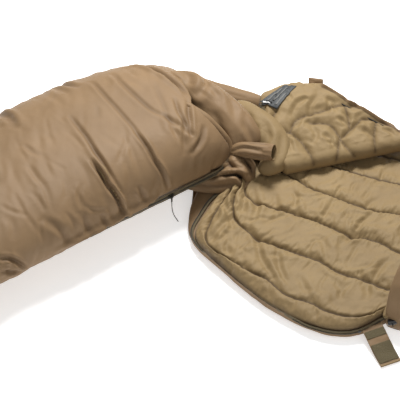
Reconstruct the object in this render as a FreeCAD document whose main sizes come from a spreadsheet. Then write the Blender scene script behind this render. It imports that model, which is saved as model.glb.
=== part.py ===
"""Mummy sleeping bag, on its back: leg tube zipped shut, front panel of the torso turned back, hood open.

Millimetres. The floor is z = 0, +X runs from the foot end to the head end, +Z is up and +Y points away from
the zipped side. The leg tube, the front panel and the hood are each drawn in a frame of their own and then
placed.
"""

import FreeCAD, Part
import math
import os

V = FreeCAD.Vector
doc = FreeCAD.newDocument("mummy_sleeping_bag")
parts = []

# ---------------------------------------------------------------- driving dimensions
DIMENSIONS = {
    "skin": 3.0,  # a shell or lining layer, drawn thicker than the cloth so that it is a solid
    "leg_length": 880.0,
    "leg_angle": 32.2,
    "leg_wall": 32.0,
    "leg_split": 100.0,
    "sole_sink": 6.0,
    "cap_depth": 76.0,
    "panel_skin": 4.0,
    "panel_loft": 46.0,
    "panel_top": 54.0,
    "lining_inset": 6.0,  # how far the back panel's lining and filling stop short of its edge
    "fill_inset": 8.0,
    "draft_tube_near": 12.0,  # the draft tube lies between these two distances from the zipped edge
    "draft_tube_far": 52.0,
    "draft_tube_height": 12.0,
    "torso_angle": -29.0,
    "neck_half": 346.0,
    "hood_radius": 352.0,
    "hood_top": 188.0,
    "hood_wall": 31.0,
    "hood_rim_radius": 226.0,
    "collar_radius": 11.0,
    "collar_length": 520.0,
    "gap": 0.5,
    "crease_angle": 16.2,
    "crease_height": 79.0,
    "flap_root": 22.0,
    "flap_slope": 13.4,
    "flap_start": 74.0,
    "flap_end": 445.0,
    "roll_radius": 32.0,
    "gather_radius": 24.0,
    "tape_level": 26.0,
    "tape_width": 8.0,
    "tape_thickness": 2.0,
    "chain_width": 4.0,
    "chain_thickness": 4.0,
    "cord_diameter": 3.0,
    "pull_cord_diameter": 2.6,
    "tab_width": 58.0,
    "tab_length": 124.0,
    "tab_thickness": 2.0,
    "patch_thickness": 1.4,
    "lock_radius": 8.0,
    "lock_length": 20.0,
    "lock_eye_radius": 2.3,
    "lock_eye_from_end": 8.0,
    "lock_cord_radius": 1.4,
    "plunger_radius": 5.8,
    "plunger_length": 18.0,
    "plunger_travel": 4.0,
}

sheet = doc.addObject("Spreadsheet::Sheet", "Spec")
for row, (alias, value) in enumerate(DIMENSIONS.items(), start=1):
    sheet.set(f"A{row}", alias)
    sheet.set(f"B{row}", str(value))
    sheet.setAlias(f"B{row}", alias)
doc.recompute()


def size(alias):
    return float(sheet.get(alias))


# ---------------------------------------------------------------- frames
MOUTH = V(-43, 177, 0)  # middle of the leg tube's mouth, on the floor
NECK = V(664, -164, 0)  # middle of the neck line, on the floor
CREASE = V(135, 24, 0)  # waist end of the crease that the front panel folds back along


def frame(origin, angle, height=0.0):
    """A placement at origin, raised by height and turned by angle degrees about the vertical."""
    return FreeCAD.Placement(origin + V(0, 0, height), FreeCAD.Rotation(V(0, 0, 1), angle))


LEG = frame(MOUTH, size("leg_angle"))
HOOD = frame(NECK, size("torso_angle"))
FLAP = frame(CREASE, size("crease_angle"), size("crease_height"))


def at_mouth(along, across):
    """A floor point given along and across the leg tube, from the middle of its mouth."""
    return LEG.multVec(V(along, across, 0))


def at_neck(along, across):
    """A floor point given along and across the torso, from the middle of the neck line."""
    return HOOD.multVec(V(along, across, 0))


# ---------------------------------------------------------------- builders
def keep(obj, label, placement=None):
    """Names a finished sub-part, places it and lists it for export."""
    obj.Label = label
    if placement is not None:
        obj.Placement = placement
    parts.append(obj)
    return obj


def origin_plane(body, role):
    return next(f for f in body.Origin.OriginFeatures if f.Role == role)


def add_sketch(body, plane, curves):
    sketch = body.newObject("Sketcher::SketchObject", "Outline")
    sketch.AttachmentSupport = (origin_plane(body, plane), "")
    sketch.MapMode = "FlatFace"
    for curve in curves:
        sketch.addGeometry(curve, False)
    return sketch


def padded_body(label, curves, level, thickness, placement=None):
    """A flat piece: its outline on the XY plane, raised to level and thickened, both read from the sheet."""
    body = doc.addObject("PartDesign::Body", label)
    sketch = add_sketch(body, "XY_Plane", curves)
    sketch.setExpression(".AttachmentOffset.Base.z", level)
    pad = body.newObject("PartDesign::Pad", "Pad")
    pad.Profile = sketch
    pad.setExpression("Length", thickness)
    return keep(body, label, placement)


def box_part(label, sizes, placement):
    """A box whose three sizes are expressions on the sheet."""
    box = doc.addObject("Part::Box", label)
    for side, expression in zip(("Length", "Width", "Height"), sizes):
        box.setExpression(side, expression)
    return keep(box, label, placement)


def shape_part(label, shape, placement=None):
    """A piece made by Part's own functions, where no feature draws it."""
    feature = doc.addObject("Part::Feature", label)
    feature.Shape = shape
    return keep(feature, label, placement)


def spline(points):
    curve = Part.BSplineCurve()
    curve.interpolate(points)
    return curve


def offset(points, distance):
    """The same points moved sideways, to the left of the way they run."""
    moved = []
    for i, p in enumerate(points):
        ahead = points[min(i + 1, len(points) - 1)]
        behind = points[max(i - 1, 0)]
        way = (ahead - behind).normalize()
        moved.append(p + V(-way.y, way.x, 0) * distance)
    return moved


def ribbon(points, inner, outer):
    """The closed outline between two parallels of a line of points."""
    near = offset(points, inner)
    far = offset(points, outer)
    return [
        spline(near),
        Part.LineSegment(near[-1], far[-1]),
        spline(far),
        Part.LineSegment(far[0], near[0]),
    ]


def block(low, high):
    return Part.makeBox(high.x - low.x, high.y - low.y, high.z - low.z, low)


# ---------------------------------------------------------------- torso back panel
# The near edge carries the open half of the zip, from under the leg tube round to the neck.
NEAR_EDGE = [
    V(52, 24, 0),
    V(-8, -28, 0),
    V(-28, -90, 0),
    V(-24, -150, 0),
    V(0, -200, 0),
    V(48, -261, 0),
    V(127, -354, 0),
    V(194, -422, 0),
    V(274, -482, 0),
    V(351, -515, 0),
    V(417, -511, 0),
    at_neck(-size("gap"), -size("neck_half")),
]
# The shell reaches further under the leg tube than the filling and the lining do.
SHELL_WAIST = [at_mouth(size("gap"), -110), V(8, 50, 0), V(-22, -31, 0), V(-30, -95, 0)]
FAR_EDGE = [
    at_neck(-size("gap"), size("neck_half")),
    V(560, 222, 0),
    V(250, 300, 0),
    V(40, 338, 0),
    at_mouth(size("gap"), 160),
]


def panel_outline(inset, near_edge=NEAR_EDGE, near_start=-176.0):
    """The back panel's outline, drawn in by inset; near_start is where it begins, across the mouth."""
    near = offset(near_edge, inset)
    near[0] = at_mouth(size("gap"), near_start + inset)
    near[-1] = at_neck(-size("gap"), -size("neck_half") + inset)
    far = offset(FAR_EDGE, inset)
    far[0] = at_neck(-size("gap"), size("neck_half") - inset)
    far[-1] = at_mouth(size("gap"), 160 - inset)
    return [
        spline(near),
        Part.LineSegment(near[-1], far[0]),
        spline(far),
        Part.LineSegment(far[-1], near[0]),
    ]


def build_back_panel():
    shell = panel_outline(0.0, SHELL_WAIST + NEAR_EDGE[3:], -110.0)
    lining = panel_outline(size("lining_inset"))
    tube = ribbon(NEAR_EDGE[4:11], size("draft_tube_near"), size("draft_tube_far"))
    padded_body("back_shell", shell, "0 mm", "Spec.panel_skin")
    padded_body("back_fill", panel_outline(size("fill_inset")), "Spec.panel_skin", "Spec.panel_loft")
    padded_body("back_lining", lining, "Spec.panel_top - Spec.panel_skin", "Spec.panel_skin")
    padded_body("draft_tube", tube, "Spec.panel_top", "Spec.draft_tube_height")


# ---------------------------------------------------------------- leg tube
# Distance from the mouth, half widths on the zipped and on the far side, and height, at each station.
LEG_END = (size("leg_length"), 216, 250, 232)
LEG_STATIONS = [(0, 172, 172, 200), (60, 184, 196, 214), (258, 190, 244, 232), (577, 206, 262, 234), LEG_END]
CAP_MIDDLE = (size("leg_length") + 45, 198, 230, 214)
CAP_STATIONS = [LEG_END, CAP_MIDDLE, (size("leg_length") + size("cap_depth"), 148, 172, 160)]
SECTION_POINTS = 12


def leg_section(back, near, far, height, inset, bottom):
    """A rounded oblong across the tube: a superellipse, drawn as one closed spline."""
    top = height - inset
    middle = (top + bottom) / 2
    rise = (top - bottom) / 2
    points = []
    for k in range(SECTION_POINTS):
        angle = 2 * math.pi * k / SECTION_POINTS
        c, s = math.cos(angle), math.sin(angle)
        half = (far if c > 0 else near) - inset
        across = half * math.copysign(abs(c) ** 0.8, c)
        up = middle + rise * math.copysign(abs(s) ** 0.8, s)
        points.append(V(-back, across, up))
    curve = Part.BSplineCurve()
    curve.interpolate(points, PeriodicFlag=True)
    return Part.Wire([curve.toShape()])


def leg_solid(stations, inset, bottom, shorten=0.0):
    sections = []
    for back, near, far, height in stations:
        squeeze = shorten if back == stations[-1][0] else 0.0
        sections.append(leg_section(back - squeeze, near, far, height, inset, bottom))
    return Part.makeLoft(sections, True, False)


def above_floor(shape):
    return shape.common(block(V(-1200, -600, 0), V(200, 600, 400)))


def build_leg():
    skin = size("skin")
    wall = size("leg_wall")
    split = size("leg_split")
    outside = above_floor(leg_solid(LEG_STATIONS, 0, -size("sole_sink")))
    under_shell = leg_solid(LEG_STATIONS, skin, skin)
    under_fill = leg_solid(LEG_STATIONS, wall - skin, wall - skin)
    hollow = leg_solid(LEG_STATIONS, wall, wall)
    layers = {
        "shell": outside.cut(under_shell),
        "fill": under_shell.cut(under_fill),
        "lining": under_fill.cut(hollow),
    }
    halves = {
        "front": block(V(-1200, -600, split), V(200, 600, 400)),
        "back": block(V(-1200, -600, -20), V(200, 600, split)),
    }
    for half, region in halves.items():
        for layer, ring in layers.items():
            shape_part(f"leg_{half}_{layer}", ring.common(region), LEG)
    cap = above_floor(leg_solid(CAP_STATIONS, 0, -size("sole_sink")))
    cap_fill = leg_solid(CAP_STATIONS, skin, skin, skin)
    shape_part("foot_cap_shell", cap.cut(cap_fill), LEG)
    shape_part("foot_cap_fill", cap_fill, LEG)
    return outside


# ---------------------------------------------------------------- zip on the leg
# A straight run on the tube's near side, from the foot end up to the slider and on to the mouth.
LEG_ZIP_FOOT = V(-430, -211, 0)
LEG_ZIP_MOUTH = V(-30, -193, 0)
LEG_ZIP_LEVEL = 100.0
SLIDER_AT = 260.0  # along the run, from its foot end


def leg_zip_frame():
    """x runs from the foot end towards the mouth, y points out of the tube and z is up."""
    way = LEG_ZIP_MOUTH - LEG_ZIP_FOOT
    turn = math.degrees(math.atan2(way.y, way.x))
    local = FreeCAD.Placement(LEG_ZIP_FOOT + V(0, 0, LEG_ZIP_LEVEL), FreeCAD.Rotation(V(0, 0, 1), turn))
    flip = FreeCAD.Placement(V(0, 0, 0), FreeCAD.Rotation(V(1, 0, 0), 180))
    return LEG.multiply(local).multiply(flip)


def moved(placement, vector):
    return placement.multiply(FreeCAD.Placement(vector, FreeCAD.Rotation()))


def build_leg_zip(tube):
    run = (LEG_ZIP_MOUTH - LEG_ZIP_FOOT).Length
    place = leg_zip_frame()
    tube_here = tube.copy()
    tube_here.Placement = place.inverse().multiply(LEG)
    tape = block(V(0, -16, -12), V(run, 0, 12)).cut(tube_here)
    pieces = sorted(tape.Solids, key=lambda s: -s.Volume)
    shape_part("zip_tape_leg", pieces[0], place)
    box_part(
        "zip_chain_leg",
        (f"{SLIDER_AT} mm", "Spec.chain_thickness * 0.75", "Spec.chain_width * 1.5"),
        moved(place, V(0, 0, -3)),
    )
    box_part(
        "zip_teeth_lip",
        (f"{run - SLIDER_AT - 16} mm", "Spec.chain_thickness * 0.6", "Spec.chain_width * 0.5"),
        moved(place, V(SLIDER_AT + 14, 0, 3.5)),
    )
    return place


def build_slider(place):
    """The slider caps the chain; its two cheeks hold the pin that the pull hangs on."""
    here = moved(place, V(SLIDER_AT, 0, 0))
    cap = block(V(-8, 0.3, -5.5), V(8, 6, 5.5))
    channel = block(V(-9, -1, -3.4), V(9, 3.4, 3.4))
    cheeks = block(V(-4.2, 6, -3), V(-2.6, 11, 3)).fuse(block(V(2.6, 6, -3), V(4.2, 11, 3)))
    pin = Part.makeCylinder(0.9, 8.4, V(-4.2, 9, 0), V(1, 0, 0))
    shape_part("main_slider_body", cap.cut(channel).fuse([cheeks, pin]).removeSplitter(), here)
    # The frame's z points down, so the pull's tongue, drawn along +z, hangs.
    eye = Part.makeCylinder(2.2, 4.6, V(-2.3, 9, 0), V(1, 0, 0))
    tongue = block(V(-2.3, 8.1, 1.4), V(2.3, 9.9, 17))
    hole = Part.makeCylinder(1.2, 6, V(-3, 9, 0), V(1, 0, 0))
    shape_part("main_pull_tab", eye.fuse(tongue).cut(hole).removeSplitter(), here)
    return here


# ---------------------------------------------------------------- cords
def cord_path(points):
    """Straight runs joined by tangent arcs, each as large as its two runs allow."""
    edges = []
    start = points[0]
    for before, corner, after in zip(points, points[1:], points[2:]):
        back = before - corner
        ahead = after - corner
        turn = math.pi - back.getAngle(ahead)
        reach = 0.45 * min(back.Length, ahead.Length)
        radius = reach / math.tan(turn / 2)
        print(f"  cord arc radius {radius:.1f} mm, turn {math.degrees(turn):.0f} degrees")
        enter = corner + back.normalize() * reach
        leave = corner + ahead.normalize() * reach
        bisector = ((enter - corner) + (leave - corner)).normalize()
        middle = corner + bisector * (radius / math.cos(turn / 2) - radius)
        edges.append(Part.LineSegment(start, enter).toShape())
        edges.append(Part.Arc(enter, middle, leave).toShape())
        start = leave
    edges.append(Part.LineSegment(start, points[-1]).toShape())
    return Part.Wire(edges)


def cord(label, points, diameter):
    path = cord_path(points)
    way = (points[1] - points[0]).normalize()
    ring = Part.Wire([Part.makeCircle(diameter / 2, points[0], way)])
    tube = path.makePipeShell([ring], True, False)
    expected = math.pi * (diameter / 2) ** 2 * path.Length
    print(f"{label}: {path.Length:.1f} mm long, volume {tube.Volume:.0f}, expected {expected:.0f}")
    return shape_part(label, tube)


# The cord on the slider's pull, from the tip of the pull down to just above the floor.
PULL_CORD_ROUTE = [
    V(-75.7, -89.8, 82.6),
    V(-75.7, -90.1, 66),
    V(-73.9, -91.3, 48),
    V(-68.4, -92.8, 30),
    V(-58.4, -94.3, 13),
]


# ---------------------------------------------------------------- waist
def roll(label, first, middle, last, radius):
    arc = Part.Arc(first, middle, last).toShape()
    start = arc.tangentAt(arc.FirstParameter)
    ring = Part.Wire([Part.makeCircle(radius, first, start)])
    return shape_part(label, Part.Wire([arc]).makePipeShell([ring], True, False))


# Distance past the mouth (negative, as the stations count back from it), half widths and height.
ARCH_STATIONS = [(0, 172, 172, 200), (-60, 167, 167, 190), (-130, 150, 150, 172)]
ARCH_EDGE_RISE = 24.0  # degrees that the arch's lower edge climbs towards the fold
FOLD_PATH = [V(-12, 292, 150), V(98, 226, 133), V(148, 84, 92)]
GATHER_PATH = [V(62, 10, 81), V(92, 22, 83), V(124, 24, 81)]


def arch_region():
    """The space over the waist, from the mouth of the tube to just short of the fold."""
    edge = offset([V(p.x, p.y, 0) for p in FOLD_PATH], -size("roll_radius") - 1)
    corners = [at_mouth(50, -172), at_mouth(0, -180), at_mouth(0, 180), at_mouth(30, 176)]
    lines = [Part.LineSegment(edge[-1], corners[0]).toShape()]
    for start, end in zip(corners, corners[1:]):
        lines.append(Part.LineSegment(start, end).toShape())
    lines.append(Part.LineSegment(corners[-1], edge[0]).toShape())
    outline = Part.Wire(Part.__sortEdges__([spline(edge).toShape()] + lines))
    region = Part.Face(outline).extrude(V(0, 0, 260))
    region.Placement = LEG.inverse().multiply(region.Placement)
    above = block(V(-10, -400, 0), V(400, 400, 400))
    above.rotate(V(0, 0, 0), V(0, 1, 0), -ARCH_EDGE_RISE)
    above.translate(V(0, 0, size("leg_split")))
    return region.common(above)


def build_waist():
    """The leg's front runs on as an arch and rolls over; its shell gathers under the roll."""
    skin = size("skin")
    region = arch_region()
    outside = leg_solid(ARCH_STATIONS, 0, -size("sole_sink"))
    under_shell = leg_solid(ARCH_STATIONS, skin, skin)
    hollow = leg_solid(ARCH_STATIONS, size("leg_wall"), size("leg_wall"))
    shape_part("waist_arch_shell", outside.cut(under_shell).common(region), LEG)
    shape_part("waist_arch_fill", under_shell.cut(hollow).common(region), LEG)
    roll("waist_fold", *FOLD_PATH, size("roll_radius"))
    roll("waist_gather", *GATHER_PATH, size("gather_radius"))


# ---------------------------------------------------------------- front panel, turned back
# Outline along (x) and away from (y) the crease; the second stretch is the neck edge.
FLAP_CREST = [
    V(80, 198, 0),
    V(117, 210, 0),
    V(164, 222, 0),
    V(203, 217, 0),
    V(241, 204, 0),
    V(266, 189, 0),
]
FLAP_NECK = [V(266, 189, 0), V(308, 142, 0), V(372, 74, 0), V(427, 19.5, 0)]


def flap_prism(inset):
    """The panel's outline as a tall prism, drawn in by inset on every side but the crease."""
    crest = offset(FLAP_CREST, -inset)
    neck = offset(FLAP_NECK, -inset)
    neck[0] = crest[-1]
    start = V(size("flap_start") + inset, 0, 0)
    end = V(size("flap_end") - inset, 0, 0)
    edges = [
        Part.LineSegment(start, crest[0]).toShape(),
        spline(crest).toShape(),
        spline(neck).toShape(),
        Part.LineSegment(neck[-1], end).toShape(),
        Part.LineSegment(end, start).toShape(),
    ]
    face = Part.Face(Part.Wire(Part.__sortEdges__(edges)))
    face.translate(V(0, 0, -60))
    return face.extrude(V(0, 0, 200))


def flap_under(reach):
    """Everything below the tilted plane that lies reach above the panel's hinge axis."""
    slab = block(V(0, -200, -400), V(600, 500, reach))
    slab.rotate(V(0, 0, 0), V(1, 0, 0), size("flap_slope"))
    return slab


def flap_root(radius, inset):
    """The rounded front of the fold: the half of a cylinder that lies before the crease."""
    start = size("flap_start") + inset
    rod = Part.makeCylinder(radius, size("flap_end") - inset - start, V(start, 0, 0), V(1, 0, 0))
    return rod.common(block(V(0, -100, -100), V(600, 0, 100)))


def build_flap():
    skin = size("skin")
    root = size("flap_root")
    low = -root + 0.5
    shell_zone = block(V(0, 0, low), V(600, 400, low + skin))
    fill_zone = block(V(0, 0, low + skin), V(600, 400, 200))
    whole = flap_prism(0)
    shell = whole.common(shell_zone)
    fill = whole.common(fill_zone).common(flap_under(root - skin)).fuse(flap_root(root - skin, 0))
    lining_zone = block(V(0, 0, 0), V(600, 400, 200))
    lining = whole.common(flap_under(root)).cut(flap_under(root - skin)).common(lining_zone)
    lip = flap_root(root, 0).cut(flap_root(root - skin, 0))
    shape_part("flap_shell", shell, FLAP)
    shape_part("flap_fill", fill.removeSplitter(), FLAP)
    shape_part("flap_lining", lining.fuse(lip).removeSplitter(), FLAP)


def on_flap(along, away, turn=0.0, lift=0.0):
    """A frame lying on the panel's lining, turned about its normal."""
    tilt = FreeCAD.Placement(V(0, 0, 0), FreeCAD.Rotation(V(1, 0, 0), size("flap_slope")))
    spot = FreeCAD.Placement(V(along, away, size("flap_root") + lift), FreeCAD.Rotation(V(0, 0, 1), turn))
    return FLAP.multiply(tilt).multiply(spot)


def build_flap_trim():
    box_part("zip_tape_flap", ("14 mm", "176 mm", "Spec.tape_thickness"), on_flap(76, 14, 0, 0.2))
    chain_sizes = ("Spec.chain_width", "176 mm", "Spec.chain_thickness * 0.5")
    box_part("zip_chain_flap", chain_sizes, on_flap(78, 14, 0, 2.3))
    neck_way = FLAP_NECK[-1] - FLAP_NECK[0]
    cord_turn = math.degrees(math.atan2(neck_way.y, neck_way.x))
    neck_cord = doc.addObject("Part::Cylinder", "flap_neck_cord")
    neck_cord.setExpression("Radius", "Spec.cord_diameter / 2")
    neck_cord.Height = 190
    lying = FreeCAD.Placement(V(0, 0, 0), FreeCAD.Rotation(V(0, 1, 0), 90))
    keep(neck_cord, "flap_neck_cord", on_flap(266, 174, cord_turn, 2.0).multiply(lying))
    box_part("care_label", ("84 mm", "40 mm", "1.2 mm"), on_flap(112, 150, 33, 0.3))
    box_part("label_tie", ("20 mm", "7 mm", "2 mm"), on_flap(96, 140, -20, 0.3))
    upright = moved(FLAP, V(222, 213, 40))
    box_part("neck_tab_front", ("36 mm", "2 mm", "50 mm"), upright)
    box_part("neck_tab_back", ("34 mm", "2 mm", "44 mm"), moved(upright, V(1, 2.4, 3)))


# ---------------------------------------------------------------- zip on the back panel
def build_back_zip():
    edge = NEAR_EDGE[3:-1]
    tape_edge = -size("tape_width")
    tape = ribbon(edge, -0.5, tape_edge)
    padded_body("zip_tape_back", tape, "Spec.tape_level", "Spec.tape_thickness")
    chain = ribbon(edge, tape_edge, tape_edge - size("chain_width"))
    padded_body("zip_chain_back", chain, "Spec.tape_level - 1", "Spec.chain_thickness")
    box_part("zip_top_stop", ("6 mm", "6 mm", "Spec.chain_thickness"), frame(V(419, -524, 25), 3.5))


# ---------------------------------------------------------------- hood
# Distance from the middle of the neck line and height, up the wall's outer face.
HOOD_WALL = [
    (size("hood_radius") - 7, 0),
    (size("hood_radius"), 50),
    (size("hood_radius") - 12, 108),
    (size("hood_radius") - 49, 155),
    (size("hood_radius") - 112, size("hood_top")),
]


def hood_wall_curve(inset):
    """The wall's section, drawn in towards the head by inset; its foot stays on the floor."""
    points = [V(radius, height, 0) for radius, height in HOOD_WALL]
    inner = offset(points, inset)
    inner[0] = V(points[0].x - inset, 0, 0)
    return inner


def hood_wall(label, outer, inner):
    body = doc.addObject("PartDesign::Body", label)
    outside = hood_wall_curve(outer)
    inside = hood_wall_curve(inner)
    curves = [
        spline(outside),
        Part.LineSegment(outside[-1], inside[-1]),
        spline(inside),
        Part.LineSegment(inside[0], outside[0]),
    ]
    sketch = add_sketch(body, "XZ_Plane", curves)
    turn = body.newObject("PartDesign::Revolution", "Turn")
    turn.Profile = sketch
    turn.ReferenceAxis = (sketch, ["V_Axis"])
    turn.Midplane = True
    turn.Angle = 180
    return keep(body, label, moved(HOOD, V(size("gap"), 0, 0)))


def build_hood():
    skin = size("skin")
    wall = size("hood_wall")
    hood_wall("hood_wall_shell", 0, skin)
    hood_wall("hood_wall_fill", skin, wall - skin)
    hood_wall("hood_wall_lining", wall - skin, wall)
    floor_radius = HOOD_WALL[0][0] - wall - 1
    arc = Part.Arc(V(0, -floor_radius, 0), V(floor_radius, 0, 0), V(0, floor_radius, 0))
    half_disc = [arc, Part.LineSegment(V(0, floor_radius, 0), V(0, -floor_radius, 0))]
    place = moved(HOOD, V(size("gap"), 0, 0))
    padded_body("hood_floor_shell", half_disc, "0 mm", "Spec.panel_skin", place)
    padded_body("hood_floor_fill", half_disc, "Spec.panel_skin", "Spec.panel_loft", place)
    padded_body("hood_floor_lining", half_disc, "Spec.panel_top - Spec.panel_skin", "Spec.panel_skin", place)
    collar = doc.addObject("Part::Cylinder", "neck_collar")
    collar.setExpression("Radius", "Spec.collar_radius")
    collar.setExpression("Height", "Spec.collar_length")
    collar_level = size("panel_top") + size("collar_radius") + 1
    collar_end = V(18, size("collar_length") / 2, collar_level)
    lying = FreeCAD.Placement(collar_end, FreeCAD.Rotation(V(1, 0, 0), 90))
    keep(collar, "neck_collar", HOOD.multiply(lying))
    # The drawcord follows the rim, held in its channel just above the wall's top edge.
    rim_radius = size("hood_rim_radius")
    rim_level = size("hood_top") + size("cord_diameter") / 2
    start = V(2, -rim_radius, rim_level)
    rim = Part.Arc(start, V(rim_radius, 0, rim_level), V(2, rim_radius, rim_level)).toShape()
    ring = Part.Wire([Part.makeCircle(size("cord_diameter") / 2, start, rim.tangentAt(0))])
    shape_part("hood_drawcord", Part.Wire([rim]).makePipeShell([ring], True, False), HOOD)


# ---------------------------------------------------------------- cord lock and closure tab
LOCK_AT = V(497, -499, 40)


def build_cord_lock():
    radius = size("lock_radius")
    length = size("lock_length")
    plunger_radius = size("plunger_radius")
    travel = size("plunger_travel")
    bore_depth = size("plunger_length") - travel
    eye_at = length - size("lock_eye_from_end")
    eye_radius = size("lock_eye_radius")
    turned = FreeCAD.Placement(LOCK_AT, FreeCAD.Rotation(V(0, 0, 1), 8))
    barrel = Part.makeCylinder(radius, length, V(0, 0, 0), V(1, 0, 0))
    bore = Part.makeCylinder(plunger_radius + 0.3, bore_depth + 1, V(length - bore_depth, 0, 0), V(1, 0, 0))
    eye = Part.makeCylinder(eye_radius, 4 * radius, V(eye_at, 2 * radius, 0), V(0, -1, 0))
    shape_part("cord_lock_body", barrel.cut(bore).cut(eye), turned)
    start = length - bore_depth + travel + 0.3
    button = Part.makeCylinder(plunger_radius, bore_depth, V(start, 0, 0), V(1, 0, 0))
    slot_end = eye_at + eye_radius + travel
    slot = block(V(eye_at - eye_radius, -20, -eye_radius), V(slot_end, 20, eye_radius))
    shape_part("cord_lock_plunger", button.cut(slot), turned)
    stub = Part.makeCylinder(size("lock_cord_radius"), 34, V(eye_at, 17, 0), V(0, -1, 0))
    shape_part("lock_cord", stub, turned)


TAB_BASE = V(461, -506, 27)
TAB_TURN = 26.5  # the sewn edge's direction, about the vertical
TAB_DROOP = 11.6  # how far the free end hangs below the sewn edge


def build_tab():
    tilt = FreeCAD.Placement(V(0, 0, 0), FreeCAD.Rotation(V(1, 0, 0), TAB_DROOP))
    base = frame(TAB_BASE, TAB_TURN).multiply(tilt)
    corner = moved(base, V(-size("tab_width") / 2, -size("tab_length") - 3, 0))
    top = size("tab_thickness")
    box_part("closure_tab", ("Spec.tab_width", "Spec.tab_length", "Spec.tab_thickness"), corner)
    thick = "Spec.patch_thickness"
    box_part("tab_end_hem", ("Spec.tab_width - 2", "5 mm", thick), moved(corner, V(1, 1, top)))
    box_part("tab_hook_patch", ("Spec.tab_width - 3", "52 mm", thick), moved(corner, V(1.5, 7, top)))
    box_part("tab_loop_strip", ("Spec.tab_width - 3", "17 mm", thick), moved(corner, V(1.5, 90, top)))


# ---------------------------------------------------------------- build, check and write
def check():
    doc.recompute()
    for obj in doc.Objects:
        if "Invalid" in obj.State or "Error" in obj.State:
            raise RuntimeError(f"{obj.Label} failed: {obj.State}")
    for obj in parts:
        shape = obj.Shape
        if shape.isNull() or not shape.isValid() or not shape.Solids:
            raise RuntimeError(f"{obj.Label} has no valid solid")


build_back_panel()
leg_tube = build_leg()
zip_place = build_leg_zip(leg_tube)
build_slider(zip_place)
cord("pull_cord", PULL_CORD_ROUTE, size("pull_cord_diameter"))
build_waist()
build_flap()
build_flap_trim()
build_back_zip()
build_hood()
build_cord_lock()
build_tab()
check()

os.makedirs("parts", exist_ok=True)
for obj in parts:
    obj.Shape.exportStep(f"parts/{obj.Label}.step")
print(f"{len(parts)} sub-parts written")
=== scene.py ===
"""Mummy sleeping bag, lying open: the soft pieces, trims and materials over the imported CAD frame.

Tables are in millimetres, in the object's frame: +X towards the head, +Y away from the zipped side, +Z up.
"""
import math

import bpy
import numpy as np
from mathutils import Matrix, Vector, noise


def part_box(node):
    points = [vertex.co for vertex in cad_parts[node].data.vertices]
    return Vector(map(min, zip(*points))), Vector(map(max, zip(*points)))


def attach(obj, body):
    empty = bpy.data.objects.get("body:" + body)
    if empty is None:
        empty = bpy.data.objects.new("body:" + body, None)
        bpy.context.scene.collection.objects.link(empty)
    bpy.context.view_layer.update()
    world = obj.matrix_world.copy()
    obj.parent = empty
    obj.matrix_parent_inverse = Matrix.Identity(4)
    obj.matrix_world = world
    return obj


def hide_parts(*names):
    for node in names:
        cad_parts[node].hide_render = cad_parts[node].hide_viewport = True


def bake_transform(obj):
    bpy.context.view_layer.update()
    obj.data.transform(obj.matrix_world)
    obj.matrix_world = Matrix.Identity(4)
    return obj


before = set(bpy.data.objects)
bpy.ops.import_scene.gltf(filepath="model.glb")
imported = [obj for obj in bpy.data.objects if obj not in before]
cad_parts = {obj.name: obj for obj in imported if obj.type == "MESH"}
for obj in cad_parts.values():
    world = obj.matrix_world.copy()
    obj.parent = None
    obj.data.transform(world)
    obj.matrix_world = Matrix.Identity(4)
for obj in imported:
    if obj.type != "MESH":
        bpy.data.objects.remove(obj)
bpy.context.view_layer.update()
scene = bpy.context.scene
MM = 0.001

# ---------------------------------------------------------------- camera, light, floor
VIEW_DISTANCE = 20.0
VIEW_WIDTH = 1.08  # metres across the picture, at the origin
ELEVATION = math.radians(45)
SKY_STRENGTH = 0.34
LIGHTS = [("key", (0.2, 1.3, 2.5), 112, 0.8), ("fill", (1.4, -2.2, 2.0), 14, 2.0)]  # place, watts and width
FLOOR_HALF = 14.0
FLOOR_DROP = 0.0005  # the floor lies just under the bag's sole
FLOOR_GLOW = 0.5


def build_camera():
    data = bpy.data.cameras.new("camera")
    data.sensor_width = 36
    data.lens = data.sensor_width * VIEW_DISTANCE / VIEW_WIDTH
    data.clip_end = 200
    camera = bpy.data.objects.new("camera", data)
    scene.collection.objects.link(camera)
    camera.location = (0, -VIEW_DISTANCE * math.cos(ELEVATION), VIEW_DISTANCE * math.sin(ELEVATION))
    camera.rotation_euler = (math.pi / 2 - ELEVATION, 0, 0)
    scene.camera = camera


def add_light(name, location, energy, size):
    data = bpy.data.lights.new(name, "AREA")
    data.energy = energy
    data.size = size
    light = bpy.data.objects.new(name, data)
    scene.collection.objects.link(light)
    light.location = location
    light.rotation_euler = (Vector((0, 0, 0)) - Vector(location)).to_track_quat("-Z", "Y").to_euler()


def build_stage():
    world = bpy.data.worlds.new("studio")
    scene.world = world
    world.use_nodes = True
    sky = world.node_tree.nodes["Background"]
    sky.inputs["Color"].default_value = (1, 1, 1, 1)
    sky.inputs["Strength"].default_value = SKY_STRENGTH
    scene.view_settings.view_transform = "Standard"
    for light in LIGHTS:
        add_light(*light)
    mesh = bpy.data.meshes.new("floor")
    h = FLOOR_HALF
    mesh.from_pydata([(-h, -h, 0), (h, -h, 0), (h, h, 0), (-h, h, 0)], [], [(0, 1, 2, 3)])
    floor = bpy.data.objects.new("floor", mesh)
    floor.location.z = -FLOOR_DROP
    scene.collection.objects.link(floor)
    paint = bpy.data.materials.new("floor")
    paint.use_nodes = True
    shader = paint.node_tree.nodes["Principled BSDF"]
    shader.inputs["Base Color"].default_value = (0.95, 0.95, 0.95, 1)
    shader.inputs["Roughness"].default_value = 0.9
    shader.inputs["Emission Color"].default_value = (1, 1, 1, 1)
    shader.inputs["Emission Strength"].default_value = FLOOR_GLOW
    mesh.materials.append(paint)


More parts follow.
